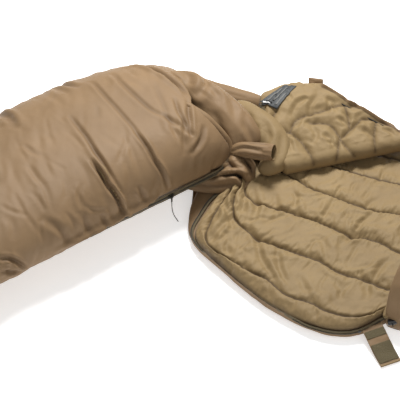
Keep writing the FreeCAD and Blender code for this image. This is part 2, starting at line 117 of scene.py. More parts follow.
# ---------------------------------------------------------------- materials
PAINTED_SHADE_TINT = (0.24, 0.2, 0.17, 1)  # painted shade: multiplies the cloth's colour in its creases and along sewn lines, where shade falls
CRUMPLE_HEIGHT, THREAD_HEIGHT = 0.004, 0.0003
MOTTLE_SCALE = 60.0
GRAIN_DEPTH = 0.15


def new_material(name, roughness, sheen=0.0, metallic=0.0, gloss=0.5):
    material = bpy.data.materials.new(name)
    material.use_nodes = True
    tree = material.node_tree
    shader = tree.nodes["Principled BSDF"]
    shader.inputs["Roughness"].default_value = roughness
    shader.inputs["Metallic"].default_value = metallic
    shader.inputs["Sheen Weight"].default_value = sheen
    shader.inputs["Sheen Roughness"].default_value = 0.4
    shader.inputs["Specular IOR Level"].default_value = gloss
    return material, tree, shader


def node(tree, kind, **inputs):
    made = tree.nodes.new(kind)
    for name, value in inputs.items():
        made.inputs[name.replace("_", " ")].default_value = value
    return made


def noise_node(tree, coords, scale, detail=3.0, distortion=0.0):
    made = node(tree, "ShaderNodeTexNoise", Scale=scale, Detail=detail, Distortion=distortion)
    tree.links.new(coords.outputs["Object"], made.inputs["Vector"])
    return made


def ramp(tree, source, low, high, dark, light):
    made = tree.nodes.new("ShaderNodeValToRGB")
    made.color_ramp.elements[0].position = low
    made.color_ramp.elements[0].color = (*dark, 1)
    made.color_ramp.elements[1].position = high
    made.color_ramp.elements[1].color = (*light, 1)
    tree.links.new(source, made.inputs["Fac"])
    return made


def bump(tree, height, strength, distance, normal=None):
    made = node(tree, "ShaderNodeBump", Strength=strength, Distance=distance)
    tree.links.new(height, made.inputs["Height"])
    if normal is not None:
        tree.links.new(normal, made.inputs["Normal"])
    return made.outputs["Normal"]


def fabric(name, dark, light, roughness, sheen, crinkle, crinkle_scale, threads=260.0, weave=0.25):
    """Woven cloth: blotchy colour, painted shade in creases and along sewn lines, crinkles of a few
    millimetres and a fine weave.
    """
    material, tree, shader = new_material(name, roughness, sheen, gloss=0.28)
    coords = tree.nodes.new("ShaderNodeTexCoord")
    blotch = noise_node(tree, coords, 9.0, 5.0)
    colour = ramp(tree, blotch.outputs["Fac"], 0.3, 0.7, dark, light)
    # Painted shade: the mesh's groove attribute darkens the colour in creases and along sewn lines, where
    # shade falls.
    painted_shade = tree.nodes.new("ShaderNodeAttribute")
    painted_shade.attribute_name = "groove"
    shade = tree.nodes.new("ShaderNodeMix")
    shade.data_type = "RGBA"
    shade.blend_type = "MULTIPLY"
    shade.inputs[7].default_value = PAINTED_SHADE_TINT
    tree.links.new(painted_shade.outputs["Fac"], shade.inputs[0])
    tree.links.new(colour.outputs["Color"], shade.inputs[6])
    tree.links.new(shade.outputs[2], shader.inputs["Base Color"])
    folds = noise_node(tree, coords, crinkle_scale, 6.0, 0.6)
    crumpled = bump(tree, folds.outputs["Fac"], crinkle, CRUMPLE_HEIGHT)
    woven = tree.nodes.new("ShaderNodeMath")
    woven.operation = "MULTIPLY"
    for direction, factor in zip(("X", "Y"), woven.inputs):
        wave = node(tree, "ShaderNodeTexWave", Scale=threads, Distortion=0.6, Detail=1.0)
        wave.bands_direction = direction
        tree.links.new(coords.outputs["Object"], wave.inputs["Vector"])
        tree.links.new(wave.outputs["Fac"], factor)
    tree.links.new(bump(tree, woven.outputs[0], weave, THREAD_HEIGHT, crumpled), shader.inputs["Normal"])
    return material


def hard(name, dark, light, roughness, metallic=0.0):
    """Moulded or enamelled parts: faint mottling, and a fine texture in the gloss."""
    material, tree, shader = new_material(name, roughness, 0.0, metallic)
    coords = tree.nodes.new("ShaderNodeTexCoord")
    mottle = noise_node(tree, coords, MOTTLE_SCALE, 4.0)
    colour = ramp(tree, mottle.outputs["Fac"], 0.35, 0.65, dark, light)
    tree.links.new(colour.outputs["Color"], shader.inputs["Base Color"])
    grain = noise_node(tree, coords, MOTTLE_SCALE * 12, 2.0)
    normal = bump(tree, grain.outputs["Fac"], GRAIN_DEPTH, THREAD_HEIGHT)
    tree.links.new(normal, shader.inputs["Normal"])
    return material


def build_materials():
    return {
        "shell": fabric("shell_microfibre", (0.199, 0.124, 0.061), (0.237, 0.15, 0.076), 0.6, 0.04, 0.28,
                        26.0),
        "lining": fabric("lining_taffeta", (0.226, 0.153, 0.07), (0.272, 0.188, 0.088), 0.66, 0.04, 0.42,
                         40.0),
        "tape": fabric("zip_tape", (0.1, 0.078, 0.042), (0.15, 0.118, 0.066), 0.8, 0.1, 0.2, 90.0, 420.0,
                       0.5),
        "coil": hard("zip_coil", (0.03, 0.028, 0.022), (0.05, 0.045, 0.035), 0.45),
        "metal": hard("slider_enamel", (0.05, 0.048, 0.04), (0.1, 0.095, 0.08), 0.4, 0.6),
        "pull_cord": fabric("pull_cord", (0.1, 0.095, 0.085), (0.17, 0.16, 0.14), 0.8, 0.2, 0.4, 300.0, 500.0,
                            0.6),
        "black_cord": fabric("black_cord", (0.012, 0.012, 0.012), (0.03, 0.03, 0.03), 0.7, 0.1, 0.4, 300.0,
                             500.0, 0.6),
        "plastic": hard("lock_plastic", (0.008, 0.008, 0.009), (0.014, 0.014, 0.015), 0.16),
        "hook": fabric("hook_tape", (0.112, 0.088, 0.044), (0.155, 0.124, 0.066), 0.9, 0.1, 0.8, 420.0, 600.0,
                       0.8),
        "label": fabric("label", (0.036, 0.039, 0.04), (0.058, 0.062, 0.062), 0.5, 0.1, 0.2, 60.0, 500.0,
                        0.3),
        "print": fabric("label_print", (0.09, 0.09, 0.084), (0.14, 0.138, 0.128), 0.5, 0.1, 0.2, 60.0, 500.0,
                        0.3),
        "white": fabric("white_tape", (0.7, 0.7, 0.68), (0.8, 0.8, 0.78), 0.8, 0.1, 0.3, 200.0, 420.0, 0.5),
    }


# ---------------------------------------------------------------- lines and grids
def catmull(points, steps=12):
    """A smooth line through the points."""
    p = np.array(points, float)
    p = np.vstack([2 * p[0] - p[1], p, 2 * p[-1] - p[-2]])
    t = np.linspace(0, 1, steps, endpoint=False)[:, None]
    runs = []
    for a, b, c, d in zip(p, p[1:], p[2:], p[3:]):
        runs.append(0.5 * (2 * b + (c - a) * t + (2 * a - 5 * b + 4 * c - d) * t**2
                           + (3 * b - a - 3 * c + d) * t**3))
    return np.vstack(runs + [p[-2][None]])


def resample(line, count):
    """count points spaced evenly along the line."""
    steps = np.linalg.norm(np.diff(line[:, :3], axis=0), axis=1)
    travelled = np.r_[0, np.cumsum(steps)]
    at = np.linspace(0, travelled[-1], count)
    return np.stack([np.interp(at, travelled, line[:, k]) for k in range(line.shape[1])], axis=1)


def smooth_line(points, count):
    return resample(catmull(points), count)


def unit(v):
    return v / np.maximum(np.linalg.norm(v, axis=-1, keepdims=True), 1e-9)


def plane(x, y):
    """2-D points from two arrays that broadcast together."""
    return np.stack(np.broadcast_arrays(x, y), axis=-1)


def grid_normals(grid, wrap=False):
    down = np.gradient(grid, axis=0)
    if wrap:
        across = (np.roll(grid, -1, axis=1) - np.roll(grid, 1, axis=1)) / 2
    else:
        across = np.gradient(grid, axis=1)
    return unit(np.cross(down, across))


def rough(points, size, octaves=3, seed=0.0):
    """Smooth noise at each point; size is the width of its lumps in millimetres."""
    flat = points.reshape(-1, points.shape[-1]) / size
    if flat.shape[1] == 2:
        flat = np.column_stack([flat, np.zeros(len(flat))])
    values = [noise.fractal((x + seed, y, z), 0.9, 2.1, octaves) for x, y, z in flat]
    return np.array(values).reshape(points.shape[:-1])


def line_distance(points, line):
    """Signed distance of 2-D points from a line, and how far along it (0 to 1) the nearest spot is."""
    best = np.full(points.shape[:-1], 1e9)
    side = np.zeros_like(best)
    along = np.zeros_like(best)
    lengths = np.linalg.norm(np.diff(line, axis=0), axis=1)
    travelled = np.r_[0, np.cumsum(lengths)]
    for i, (a, b) in enumerate(zip(line, line[1:])):
        way = b - a
        rel = points - a
        t = np.clip((rel @ way) / max(way @ way, 1e-9), 0, 1)
        off = rel - t[..., None] * way
        gap = np.linalg.norm(off, axis=-1)
        nearer = gap < best
        best = np.where(nearer, gap, best)
        turn = way[0] * rel[..., 1] - way[1] * rel[..., 0]
        side = np.where(nearer, np.sign(turn), side)
        along = np.where(nearer, (travelled[i] + t * lengths[i]) / travelled[-1], along)
    return best * side, along


def crease(points, strokes):
    """Height of folds pressed along lines. A stroke is (points, depth, width, lean)."""
    height = np.zeros(points.shape[:-1])
    for line, depth, width, lean in strokes:
        path = smooth_line(line, 4 * len(line) + 8)
        reach = 4 * width
        near = np.all((points > path.min(axis=0) - reach) & (points < path.max(axis=0) + reach), axis=-1)
        if not near.any():
            continue
        gap, along = line_distance(points[near], path)
        fade = np.clip(np.sin(np.pi * np.clip(along, 0.0, 1.0)), 0, 1) ** 0.6
        x = gap / width
        groove = -np.exp(-(x**2)) + 0.5 * np.exp(-((np.abs(x) - 1.9) ** 2)) + lean * x * np.exp(-(x**2) / 3)
        height[near] += depth * fade * groove
    return height


def loose_folds(seed, count, low, high, way, spread, reach, depth, width):
    """Small random creases inside a box, most of them running one way."""
    draw = np.random.default_rng(seed)
    strokes = []
    for _ in range(count):
        line = [draw.uniform(low, high)]
        turn = way + draw.normal(0, spread)
        bend = draw.normal(0, 0.35)
        size = draw.uniform(*reach)
        for _ in range(2):
            line.append(line[-1] + size / 2 * np.array([math.cos(turn), math.sin(turn)]))
            turn += bend
        strokes.append((line, draw.uniform(*depth), draw.uniform(*width), draw.uniform(-0.5, 0.5)))
    return strokes


def quilt(points, seams, loft, reach):
    """Height of padding held down along seams."""
    nearest = np.full(points.shape[:-1], 1e9)
    for line in seams:
        gap, _ = line_distance(points, smooth_line(line, 4 * len(line) + 8))
        nearest = np.minimum(nearest, np.abs(gap))
    return loft * (1 - np.exp(-nearest / reach))


def add_mesh(name, verts, faces, materials, indices=None, groove=None):
    mesh = bpy.data.meshes.new(name)
    mesh.from_pydata([tuple(v) for v in verts], [], faces)
    for material in materials:
        mesh.materials.append(material)
    if indices is not None:
        mesh.polygons.foreach_set("material_index", indices)
    mesh.polygons.foreach_set("use_smooth", [True] * len(faces))
    # groove: painted shade, how far the cloth's colour is darkened in creases and along sewn lines
    if groove is not None:
        mesh.attributes.new("groove", "FLOAT", "POINT").data.foreach_set(
            "value", np.asarray(groove, np.float32))
    mesh.update()
    obj = bpy.data.objects.new(name, mesh)
    scene.collection.objects.link(obj)
    return obj


def grid_object(name, grid, materials, wrap=False, keep=None, index=None, caps=False, groove=None):
    """A sheet through a grid of points in mm. keep and index say if a cell is there and its material; groove
    is the painted shade at each point.
    """
    rows, cols = grid.shape[:2]
    faces = []
    picked = []
    for r in range(rows - 1):
        for c in range(cols if wrap else cols - 1):
            if keep is not None and not keep[r, c]:
                continue
            d = (c + 1) % cols
            faces.append((r * cols + c, r * cols + d, (r + 1) * cols + d, (r + 1) * cols + c))
            picked.append(0 if index is None else int(index[r, c]))
    if caps:
        faces.append(tuple(range(cols))[::-1])
        faces.append(tuple((rows - 1) * cols + c for c in range(cols)))
        picked += [picked[0], picked[-1]]
    verts = grid.reshape(-1, 3) * MM
    used = np.zeros(len(verts), bool)
    for face in faces:
        used[list(face)] = True
    renumber = np.cumsum(used) - 1
    faces = [tuple(int(renumber[i]) for i in face) for face in faces]
    painted_shade = None if groove is None else np.clip(groove, 0, 1).ravel()[used]
    return add_mesh(name, verts[used], faces, materials, picked, painted_shade)


def solidify(obj, thickness, offset=-1.0, material_offset=0):
    made = obj.modifiers.new("thickness", "SOLIDIFY")
    made.thickness = thickness * MM
    made.offset = offset
    made.material_offset = material_offset


def subdivide(obj):
    made = obj.modifiers.new("smooth", "SUBSURF")
    made.levels = made.render_levels = 1


def finish_piece(obj, body, nodes=()):
    """Says what carries the piece, and hides the CAD nodes it stands for."""
    if body:
        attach(obj, body)
    if nodes:
        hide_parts(*nodes)


def ridged(points, size, octaves=2, seed=0.0):
    """Noise with sharp crests, from -1 to 1."""
    return 1 - 2 * np.clip(np.abs(rough(points, size, octaves, seed)) * 1.8, 0, 1)


def strap(name, middle, across, width, thickness, materials, wave, wave_size, seed, lanes=6):
    """A strip of tape or webbing along a line; across is the direction of its width at each point."""
    share = np.linspace(-0.5, 0.5, lanes + 1)
    grid = middle[:, None] + share[None, :, None] * width * across[:, None]
    steps = np.r_[0, np.cumsum(np.linalg.norm(np.diff(middle, axis=0), axis=1))]
    flatwise = plane(steps[:, None], share[None] * width)
    grid = grid + grid_normals(grid) * (wave * rough(flatwise, wave_size, 3, seed))[..., None]
    obj = grid_object(name, grid, materials)
    solidify(obj, thickness, 0.0)
    subdivide(obj)
    return obj


ZIP_PITCH = 3.0
TAPE_THICKNESS = 1.2
TOOTH = (2.8, 1.9, 2.2)  # across, along, tall


def teeth(name, line, up, material, size=TOOTH):
    """The bars of a zip along a line."""
    count = int(np.linalg.norm(np.diff(line, axis=0), axis=1).sum() / ZIP_PITCH)
    spots = resample(line, count)
    tangent = unit(np.gradient(spots, axis=0))
    across = unit(np.cross(np.broadcast_to(np.array(up, float), tangent.shape), tangent))
    tall = np.cross(tangent, across)
    corners = [(a, b, c) for a in (-0.5, 0.5) for b in (-0.5, 0.5) for c in (-0.5, 0.5)]
    verts, faces = [], []
    for spot, t, a, u in zip(spots, tangent, across, tall):
        base = len(verts)
        verts += [(spot + a * size[0] * i + t * size[1] * j + u * size[2] * k) * MM for i, j, k in corners]
        for face in ((0, 1, 3, 2), (4, 6, 7, 5), (0, 4, 5, 1), (2, 3, 7, 6), (0, 2, 6, 4), (1, 5, 7, 3)):
            faces.append(tuple(base + f for f in face))
    obj = add_mesh(name, verts, faces, [material])
    rounded = obj.modifiers.new("rounded", "BEVEL")
    rounded.width = 0.0004
    rounded.segments = 1
    return obj


FOLD_STRETCH = 4.0  # a hundredth of a roll's length against a degree round it


def sweep(name, path, radii, materials, around, along, ripple, ripple_size, seed, flat=1.0,
          facing=(0, -0.7071, 0.7071), folds=(), round_ends=(True, True)):
    """A soft roll of cloth along a path. radii are at the path's points; flat squeezes it along facing."""
    points = np.column_stack([np.array(path, float), np.array(radii, float)])
    line = smooth_line(points, along)
    centre, radius = line[:, :3], line[:, 3].copy()
    travelled = np.r_[0, np.cumsum(np.linalg.norm(np.diff(centre, axis=0), axis=1))]
    for closed, reach in zip(round_ends, (travelled, travelled[-1] - travelled)):
        if closed:
            radius *= np.sqrt(np.clip(1 - (1 - np.clip(reach / (radius * 0.9 + 1e-6), 0, 1)) ** 2, 0.003, 1))
    tangent = unit(np.gradient(centre, axis=0))
    look = np.array(facing, float)
    side = unit(np.cross(tangent, look))
    front = np.cross(side, tangent)
    angle = np.linspace(0, 2 * np.pi, around, endpoint=False)
    # Angle 0 faces the viewer, and a quarter turn is the side to the right of the way the path runs.
    grid = (
        centre[:, None]
        + radius[:, None, None] * flat * np.cos(angle)[None, :, None] * front[:, None]
        + radius[:, None, None] * np.sin(angle)[None, :, None] * side[:, None]
    )
    normal = grid_normals(grid, True)
    outward = np.sign(np.sum(normal * (grid - centre[:, None]), axis=-1).mean())
    normal *= outward
    stretched = plane((np.arange(along) * 0.35 * ripple_size / 10)[:, None], (angle * radius.mean())[None, :])
    height = ripple * rough(stretched, ripple_size, 3, seed)
    height *= (radius / max(radius.max(), 1e-6))[:, None]
    grid = grid + normal * height[..., None]
    if folds:
        turn = (np.degrees(angle) + 180) % 360 - 180
        flatwise = plane(np.linspace(0, 1, along)[:, None] * 100 * FOLD_STRETCH, turn[None, :])
        strokes = [([(x * FOLD_STRETCH, y) for x, y in line], *rest) for line, *rest in folds]
        grid = grid + normal * crease(flatwise, strokes)[..., None]
    if outward > 0:
        grid = grid[:, ::-1]
    return grid_object(name, grid, materials, wrap=True, caps=all(round_ends))


# ---------------------------------------------------------------- leg tube
LEG_TURN = math.radians(32.2)
MOUTH = (-43.0, 177.0)
# Along the tube (negative towards the foot), near half width, far half width, height.
LEG_STATIONS = [
    (-962, 20, 20, 120),
    (-956, 80, 90, 165),
    (-940, 155, 180, 200),
    (-915, 195, 226, 222),
    (-880, 234, 232, 230),
    (-730, 239, 240, 232),
    (-577, 230, 250, 237),
    (-400, 213, 262, 246),
    (-258, 204, 262, 252),
    (-140, 198, 250, 254),
    (-60, 195, 232, 250),
    (0, 186, 208, 236),
    (30, 173, 196, 220),
    (70, 152, 178, 194),
]
SOLE_SINK = 6.0
LEG_TOP, LEG_TOP_GIVE = 237.0, 13.0  # the cloth's folds are pressed softly under this height
LEG_ZIP_LEVEL, LEG_ZIP_REACH = 100.0, 13.0
OVERHANG_LEVEL, OVERHANG_REACH, OVERHANG = 119.0, 8.0, 17.0
# The lip of the tube's mouth: how far round from the top line, and how far along.
LEG_LIP = [
    (-330, 20), (-270, 40), (-120, 52), (-60, 30), (0, 13), (30, 4), (50, -10), (75, -2), (108, 9), (150, 25),
    (178, 40), (200, 50), (250, 60), (262, 62), (262.5, -34), (400, -34),
]
LEG_PADDING = 16
# Folds in the tube's cloth: along the tube and around it from the top, positive towards the zipped side.
LEG_FOLDS = [
    ([(-315, -80), (-320, 10), (-328, 70), (-330, 130), (-328, 180), (-318, 225)], 6, 9, 0.5),
    ([(-350, 90), (-350, 130), (-345, 185), (-332, 230), (-318, 290)], 9, 8, -0.5),
    ([(-335, 150), (-338, 200), (-325, 260)], 5, 6, 0.3),
    ([(-190, -175), (-195, -100), (-195, -35), (-195, 40), (-195, 100), (-195, 130)], 4.5, 8, 0.5),
    ([(-200, 60), (-195, 130), (-195, 170), (-185, 210), (-175, 270)], 5, 7, -0.4),
    ([(-125, -175), (-130, -95), (-120, 15), (-100, 65), (-85, 105), (-65, 150)], 4.5, 9, 0.5),
    ([(-85, -205), (-40, -190), (-25, -135), (-10, -80), (0, -20), (0, 15)], 7, 9, 0.5),
    ([(-40, 10), (-60, 75), (-65, 120), (-65, 150)], 5, 8, 0.4),
    ([(-10, 35), (-35, 85), (-55, 125), (-65, 150)], 5, 7, -0.4),
    ([(-30, 60), (-80, 130), (-110, 190)], 3, 9, 0.3),
    ([(-60, -60), (-80, 20), (-100, 90), (-105, 160)], 3, 10, 0.4),
    ([(-715, 235), (-680, 255), (-640, 305)], 6, 8, 0.3),
    ([(-720, 270), (-655, 310)], 5, 8, 0.0),
    ([(-15, 125), (-45, 165), (-90, 195)], 4, 9, 0.3),
    ([(-475, -55), (-470, -20), (-460, 10)], 2, 10, 0.2),
    ([(-265, 215), (-250, 275)], 3, 8, 0.3),
    ([(-255, -20), (-230, -70)], 2, 10, 0.3),
    ([(-560, 180), (-520, 240), (-500, 300)], 3, 14, 0.2),
    ([(-450, 210), (-440, 260), (-425, 310)], 3, 12, 0.3),
    ([(-390, 240), (-380, 300)], 3, 10, -0.3),
    ([(-620, -150), (-600, -60), (-610, 40)], 3, 16, 0.3),
    ([(-820, -120), (-800, 0), (-815, 120)], 4, 16, 0.3),
    ([(-700, -250), (-690, -140), (-700, -60)], 4, 14, 0.3),
    ([(-450, -300), (-440, -200), (-450, -120)], 4, 14, -0.3),
    ([(-250, -330), (-245, -250), (-230, -170)], 4, 12, 0.3),
    ([(-880, 60), (-850, 160), (-860, 250)], 5, 12, 0.3),
]


def from_leg(along, across, up):
    c, s = math.cos(LEG_TURN), math.sin(LEG_TURN)
    return np.stack([MOUTH[0] + along * c - across * s, MOUTH[1] + along * s + across * c, up], axis=-1)


def leg_grid(rows, cols):
    """Points of the tube's outside, with the distance along it and around it from its top line."""
    stations = catmull(LEG_STATIONS)
    along = np.linspace(LEG_STATIONS[0][0], LEG_STATIONS[-1][0], rows)
    tip = np.linspace(0, 1, 8, endpoint=False)
    along = np.r_[LEG_STATIONS[0][0] + 22 * tip**2, along[along > LEG_STATIONS[0][0] + 24]]
    near, far, height = (np.interp(along, stations[:, 0], stations[:, k]) for k in (1, 2, 3))
    angle = np.linspace(0, 2 * np.pi, cols, endpoint=False)
    c, s = np.cos(angle)[None, :], np.sin(angle)[None, :]
    middle = ((height - SOLE_SINK) / 2)[:, None]
    rise = ((height + SOLE_SINK) / 2)[:, None]
    half = np.where(c > 0, far[:, None], near[:, None])
    # The zipped side tucks in under itself, where the tube rests on the floor.
    power = np.where((c < 0) & (s < 0), 1.13, 0.82)
    across = half * np.sign(c) * np.abs(c) ** power
    up = middle + rise * np.sign(s) * np.abs(s) ** power
    grid = from_leg(np.broadcast_to(along[:, None], across.shape), across, up)
    middle = grid.mean(axis=1, keepdims=True)
    closing = np.clip((along - along[0]) / 16, 0, 1)[:, None, None]
    grid = middle + (grid - middle) * np.maximum(np.sqrt(1 - (1 - closing) ** 2), 0.01)
    step = np.linalg.norm(np.diff(np.concatenate([grid, grid[:, :1]], axis=1), axis=1), axis=-1)
    around = np.concatenate([np.zeros((len(along), 1)), np.cumsum(step, axis=1)[:, :-1]], axis=1)
    top = cols // 4
    around = around - around[:, top:top + 1]
    total = step.sum(axis=1)[:, None]
    around = np.where(around > total / 2, around - total, around)
    around = np.where(around < -total / 2, around + total, around)
    return grid, plane(along[:, None], around)


def build_leg(paint):
    grid, flatwise = leg_grid(245, 284)
    normal = grid_normals(grid, True)
    normal *= np.sign(np.sum(normal[50, 65] * np.array([0, 0, 1.0])))
    slanted = plane(flatwise[..., 0] * 0.9 + flatwise[..., 1] * 0.45, flatwise[..., 1] * 0.35)
    height = 3.4 * rough(slanted, 95.0, 3, 3.0) + 1.0 * rough(slanted, 24.0, 2, 9.0)
    height += crease(flatwise,
                     [(line, 1.6 * depth, 0.75 * width, lean) for line, depth, width, lean in LEG_FOLDS])
    fine = loose_folds(9, 110, (-940, -330), (0, 330), math.radians(100), 0.35, (50, 150), (0.8, 2.2),
                       (5, 10))
    height += crease(flatwise, fine)
    # The cloth lies flat along the zip, and bags out over it further down the leg.
    along, around = flatwise[..., 0], flatwise[..., 1]
    zipped = np.exp(-(((grid[..., 2] - LEG_ZIP_LEVEL) / LEG_ZIP_REACH) ** 2)) * (around > 60)
    zipped *= np.clip((along + 480) / 60, 0, 1)
    height = height * (1 - 0.9 * zipped) - 1.5 * zipped
    over = np.exp(-(((grid[..., 2] - OVERHANG_LEVEL) / OVERHANG_REACH) ** 2)) * (around > 60)
    height += OVERHANG * over * np.clip((-205 - along) / 50, 0, 1) * np.clip((along + 560) / 90, 0, 1)
    ends = np.clip((along + 950) / 60, 0, 1)
    grid = grid + normal * (height * ends)[..., None]
    grid[..., 2] = np.maximum(grid[..., 2], 0.5 + 1.5 * (grid[..., 2] < 0.5))
    past_top = np.clip(grid[..., 2] - LEG_TOP, 0, None)
    grid[..., 2] += LEG_TOP_GIVE * np.tanh(past_top / LEG_TOP_GIVE) - past_top
    edge = np.interp(around, *np.transpose(LEG_LIP))
    past = np.clip(along - edge, 0, 8)
    grid = grid - past[..., None] * np.array([math.cos(LEG_TURN), math.sin(LEG_TURN), 0])
    # Painted shade in the deeper folds of the tube's cloth.
    painted_shade = np.clip(-crease(flatwise, LEG_FOLDS) / 14, 0, 0.5)
    leg = grid_object("leg_tube", grid, [paint["shell"], paint["lining"]], wrap=True, keep=along < edge,
                      groove=painted_shade)
    solidify(leg, LEG_PADDING, -1.0, 1)
    nodes = [f"leg_{part}_{layer}" for part in ("front", "back") for layer in ("shell", "fill", "lining")]
    nodes += ["foot_cap_shell", "foot_cap_fill", "waist_arch_shell", "waist_arch_fill"]
    finish_piece(leg, "bag", nodes)


LEG_ZIP = [(-430, -211, 100), (-230, -202, 100), (-30, -193, 100), (12, -184, 101), (40, -168, 103),
           (62, -150, 106)]
SLIDER_BACK = -158.0  # how far along the tube the closed chain begins


def build_leg_zip(paint):
    """Tape and coil down the leg, closed below the slider and parted above it."""
    line = smooth_line(LEG_ZIP, 120)
    outward = np.array([math.sin(LEG_TURN), -math.cos(LEG_TURN), 0.0])
    places = from_leg(line[:, 0], line[:, 1], line[:, 2]) + outward * 1.5
    upright = np.tile((0.0, 0.0, 1.0), (len(places), 1))
    tape = strap("leg_zip_tape", places, upright, 21, TAPE_THICKNESS, [paint["tape"]], wave=1.6,
                 wave_size=30.0, seed=51.0)
    finish_piece(tape, "bag", ("zip_tape_leg",))
    closed = places[line[:, 0] < SLIDER_BACK] + outward * 1.6
    chain = teeth("leg_zip_chain", closed, outward, paint["coil"], (5.5, 1.9, 2.2))
    finish_piece(chain, "bag", ("zip_chain_leg",))
    parted = places[line[:, 0] > SLIDER_BACK + 14] + outward * 1.4
    spread = np.linspace(0, 1, len(parted))[:, None] * np.array([0, 0, 5.0])
    for name, row, nodes in (("leg_zip_upper_teeth", parted + spread, ("zip_teeth_lip",)),
                             ("leg_zip_lower_teeth", parted - spread, ())):
        finish_piece(teeth(name, row, outward, paint["coil"], (2.6, 1.9, 2.0)), "bag", nodes)


# ---------------------------------------------------------------- torso
TORSO_TURN = math.radians(-29.0)
NECK = (664.0, -164.0)


def at_neck(along, across, up):
    c, s = math.cos(TORSO_TURN), math.sin(TORSO_TURN)
    return NECK[0] + along * c - across * s, NECK[1] + along * s + across * c, up


def blend_at_neck(obj):
    """Bakes the object's placement into its mesh."""
    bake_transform(obj)


# Sewn lines of the back panel's lining, from inside the tube's mouth to the neck; the first is the zip's.
ZIP_LINE = [
    (48, 35, 52), (75, -5, 48), (38, -45, 40), (12, -92, 34), (-12, -150, 31), (-5, -198, 30), (43, -267, 30),
    (122, -360, 30), (190, -428, 30), (271, -487, 30), (351, -519, 30), (417, -514, 32), (492, -469, 40),
]
SEAMS = [
    [(40, 45, 52), (92, 0, 56), (52, -80, 52), (24, -150, 48), (16, -200, 46), (40, -244, 46),
     (138, -325, 48), (182, -357, 48), (227, -409, 48), (296, -441, 48), (329, -466, 48), (389, -489, 48),
     (440, -486, 48), (504, -452, 48)],
    [(25, 70, 54), (110, 18, 56), (92, -65, 54), (95, -130, 50), (131, -179, 50), (155, -208, 50),
     (206, -232, 50), (310, -284, 50), (372, -330, 50), (430, -357, 50), (500, -392, 50), (547, -376, 50)],
    [(10, 95, 54), (118, 45, 56), (122, -35, 54), (150, -68, 50), (206, -92, 50), (275, -122, 50),
     (344, -157, 50), (406, -199, 50), (440, -203, 50), (482, -220, 50), (534, -257, 50), (599, -283, 50)],
    [(-10, 125, 52), (70, 125, 52), (150, 95, 50), (234, 42, 50), (300, -12, 50), (362, -46, 50),
     (441, -87, 50), (482, -101, 50), (534, -113, 50), (664, -165, 50)],
    [(-40, 175, 52), (50, 185, 50), (150, 150, 48), (260, 112, 48), (354, 76, 50), (464, 32, 50),
     (537, 7, 50), (720, -61, 50)],
    [(-80, 235, 52), (10, 260, 48), (120, 232, 46), (260, 192, 44), (400, 150, 44), (540, 105, 46),
     (650, 75, 48), (777, 40, 50)],
    [(-124, 308, 52), (-45, 322, 40), (40, 328, 34), (250, 290, 32), (560, 214, 34), (829, 137, 44)],
]
CELLS = [10, 20, 21, 20, 18, 14, 12]  # grid cells from each sewn line to the next
CROWNS = [14, 20, 22, 22, 16, 7, 5]  # how far the padding stands over them before it is blown up
COLUMNS, SHELL_COLUMNS = 210, 150
# Outer edge of the brown shell, at the height where it bulges most.
SHELL_EDGE = [
    (20, 76, 50), (8, 45, 44), (-22, -31, 30), (-31, -95, 23), (-28, -150, 21), (-5, -203, 20),
    (45, -265, 19), (123, -359, 19), (191, -428, 19), (272, -488, 19), (351, -521, 19), (418, -517, 20),
    (497, -470, 24),
]


def torso_grid():
    """Rows of points along and between the sewn lines."""
    lines = [smooth_line(line, COLUMNS) for line in [ZIP_LINE] + SEAMS]
    rows = []
    for (low, high), cells, crown in zip(zip(lines, lines[1:]), CELLS, CROWNS):
        for k in range(cells):
            t = k / cells
            row = low * (1 - t) + high * t
            row[:, 2] += crown * math.sin(math.pi * t) ** 0.5
            rows.append(row)
    rows.append(lines[-1])
    return np.array(rows)


def blow_up(obj, held, pressure, growth, cap, frames=20):
    """Swells a padded sheet held along its seams, with Blender's Cloth, then keeps the shape."""
    group = obj.vertex_groups.new(name="held")
    group.add([int(i) for i in held], 1.0, "REPLACE")
    cloth = obj.modifiers.new("padding", "CLOTH")
    settings = cloth.settings
    settings.quality = 6
    settings.mass = 0.25
    settings.tension_stiffness = 18
    settings.compression_stiffness = 8
    settings.shear_stiffness = 6
    settings.bending_stiffness = 0.6
    settings.use_pressure = True
    settings.uniform_pressure_force = pressure
    settings.shrink_min = -growth
    settings.vertex_group_mass = "held"
    settings.effector_weights.gravity = 0
    cloth.collision_settings.use_collision = False
    cloth.point_cache.frame_start = 1
    cloth.point_cache.frame_end = frames
    for at in range(1, frames + 1):
        scene.frame_set(at)
    graph = bpy.context.evaluated_depsgraph_get()
    swollen = np.array([tuple(v.co) for v in obj.evaluated_get(graph).data.vertices])
    start = np.array([tuple(v.co) for v in obj.data.vertices])
    move = swollen - start
    length = np.linalg.norm(move, axis=1, keepdims=True)
    limit = cap * MM
    move *= np.where(length > 1e-9, limit * np.tanh(length / limit) / np.maximum(length, 1e-9), 0)
    obj.modifiers.remove(cloth)
    obj.vertex_groups.clear()
    obj.data.vertices.foreach_set("co", (start + move).ravel())
    obj.data.update()
    scene.frame_set(1)


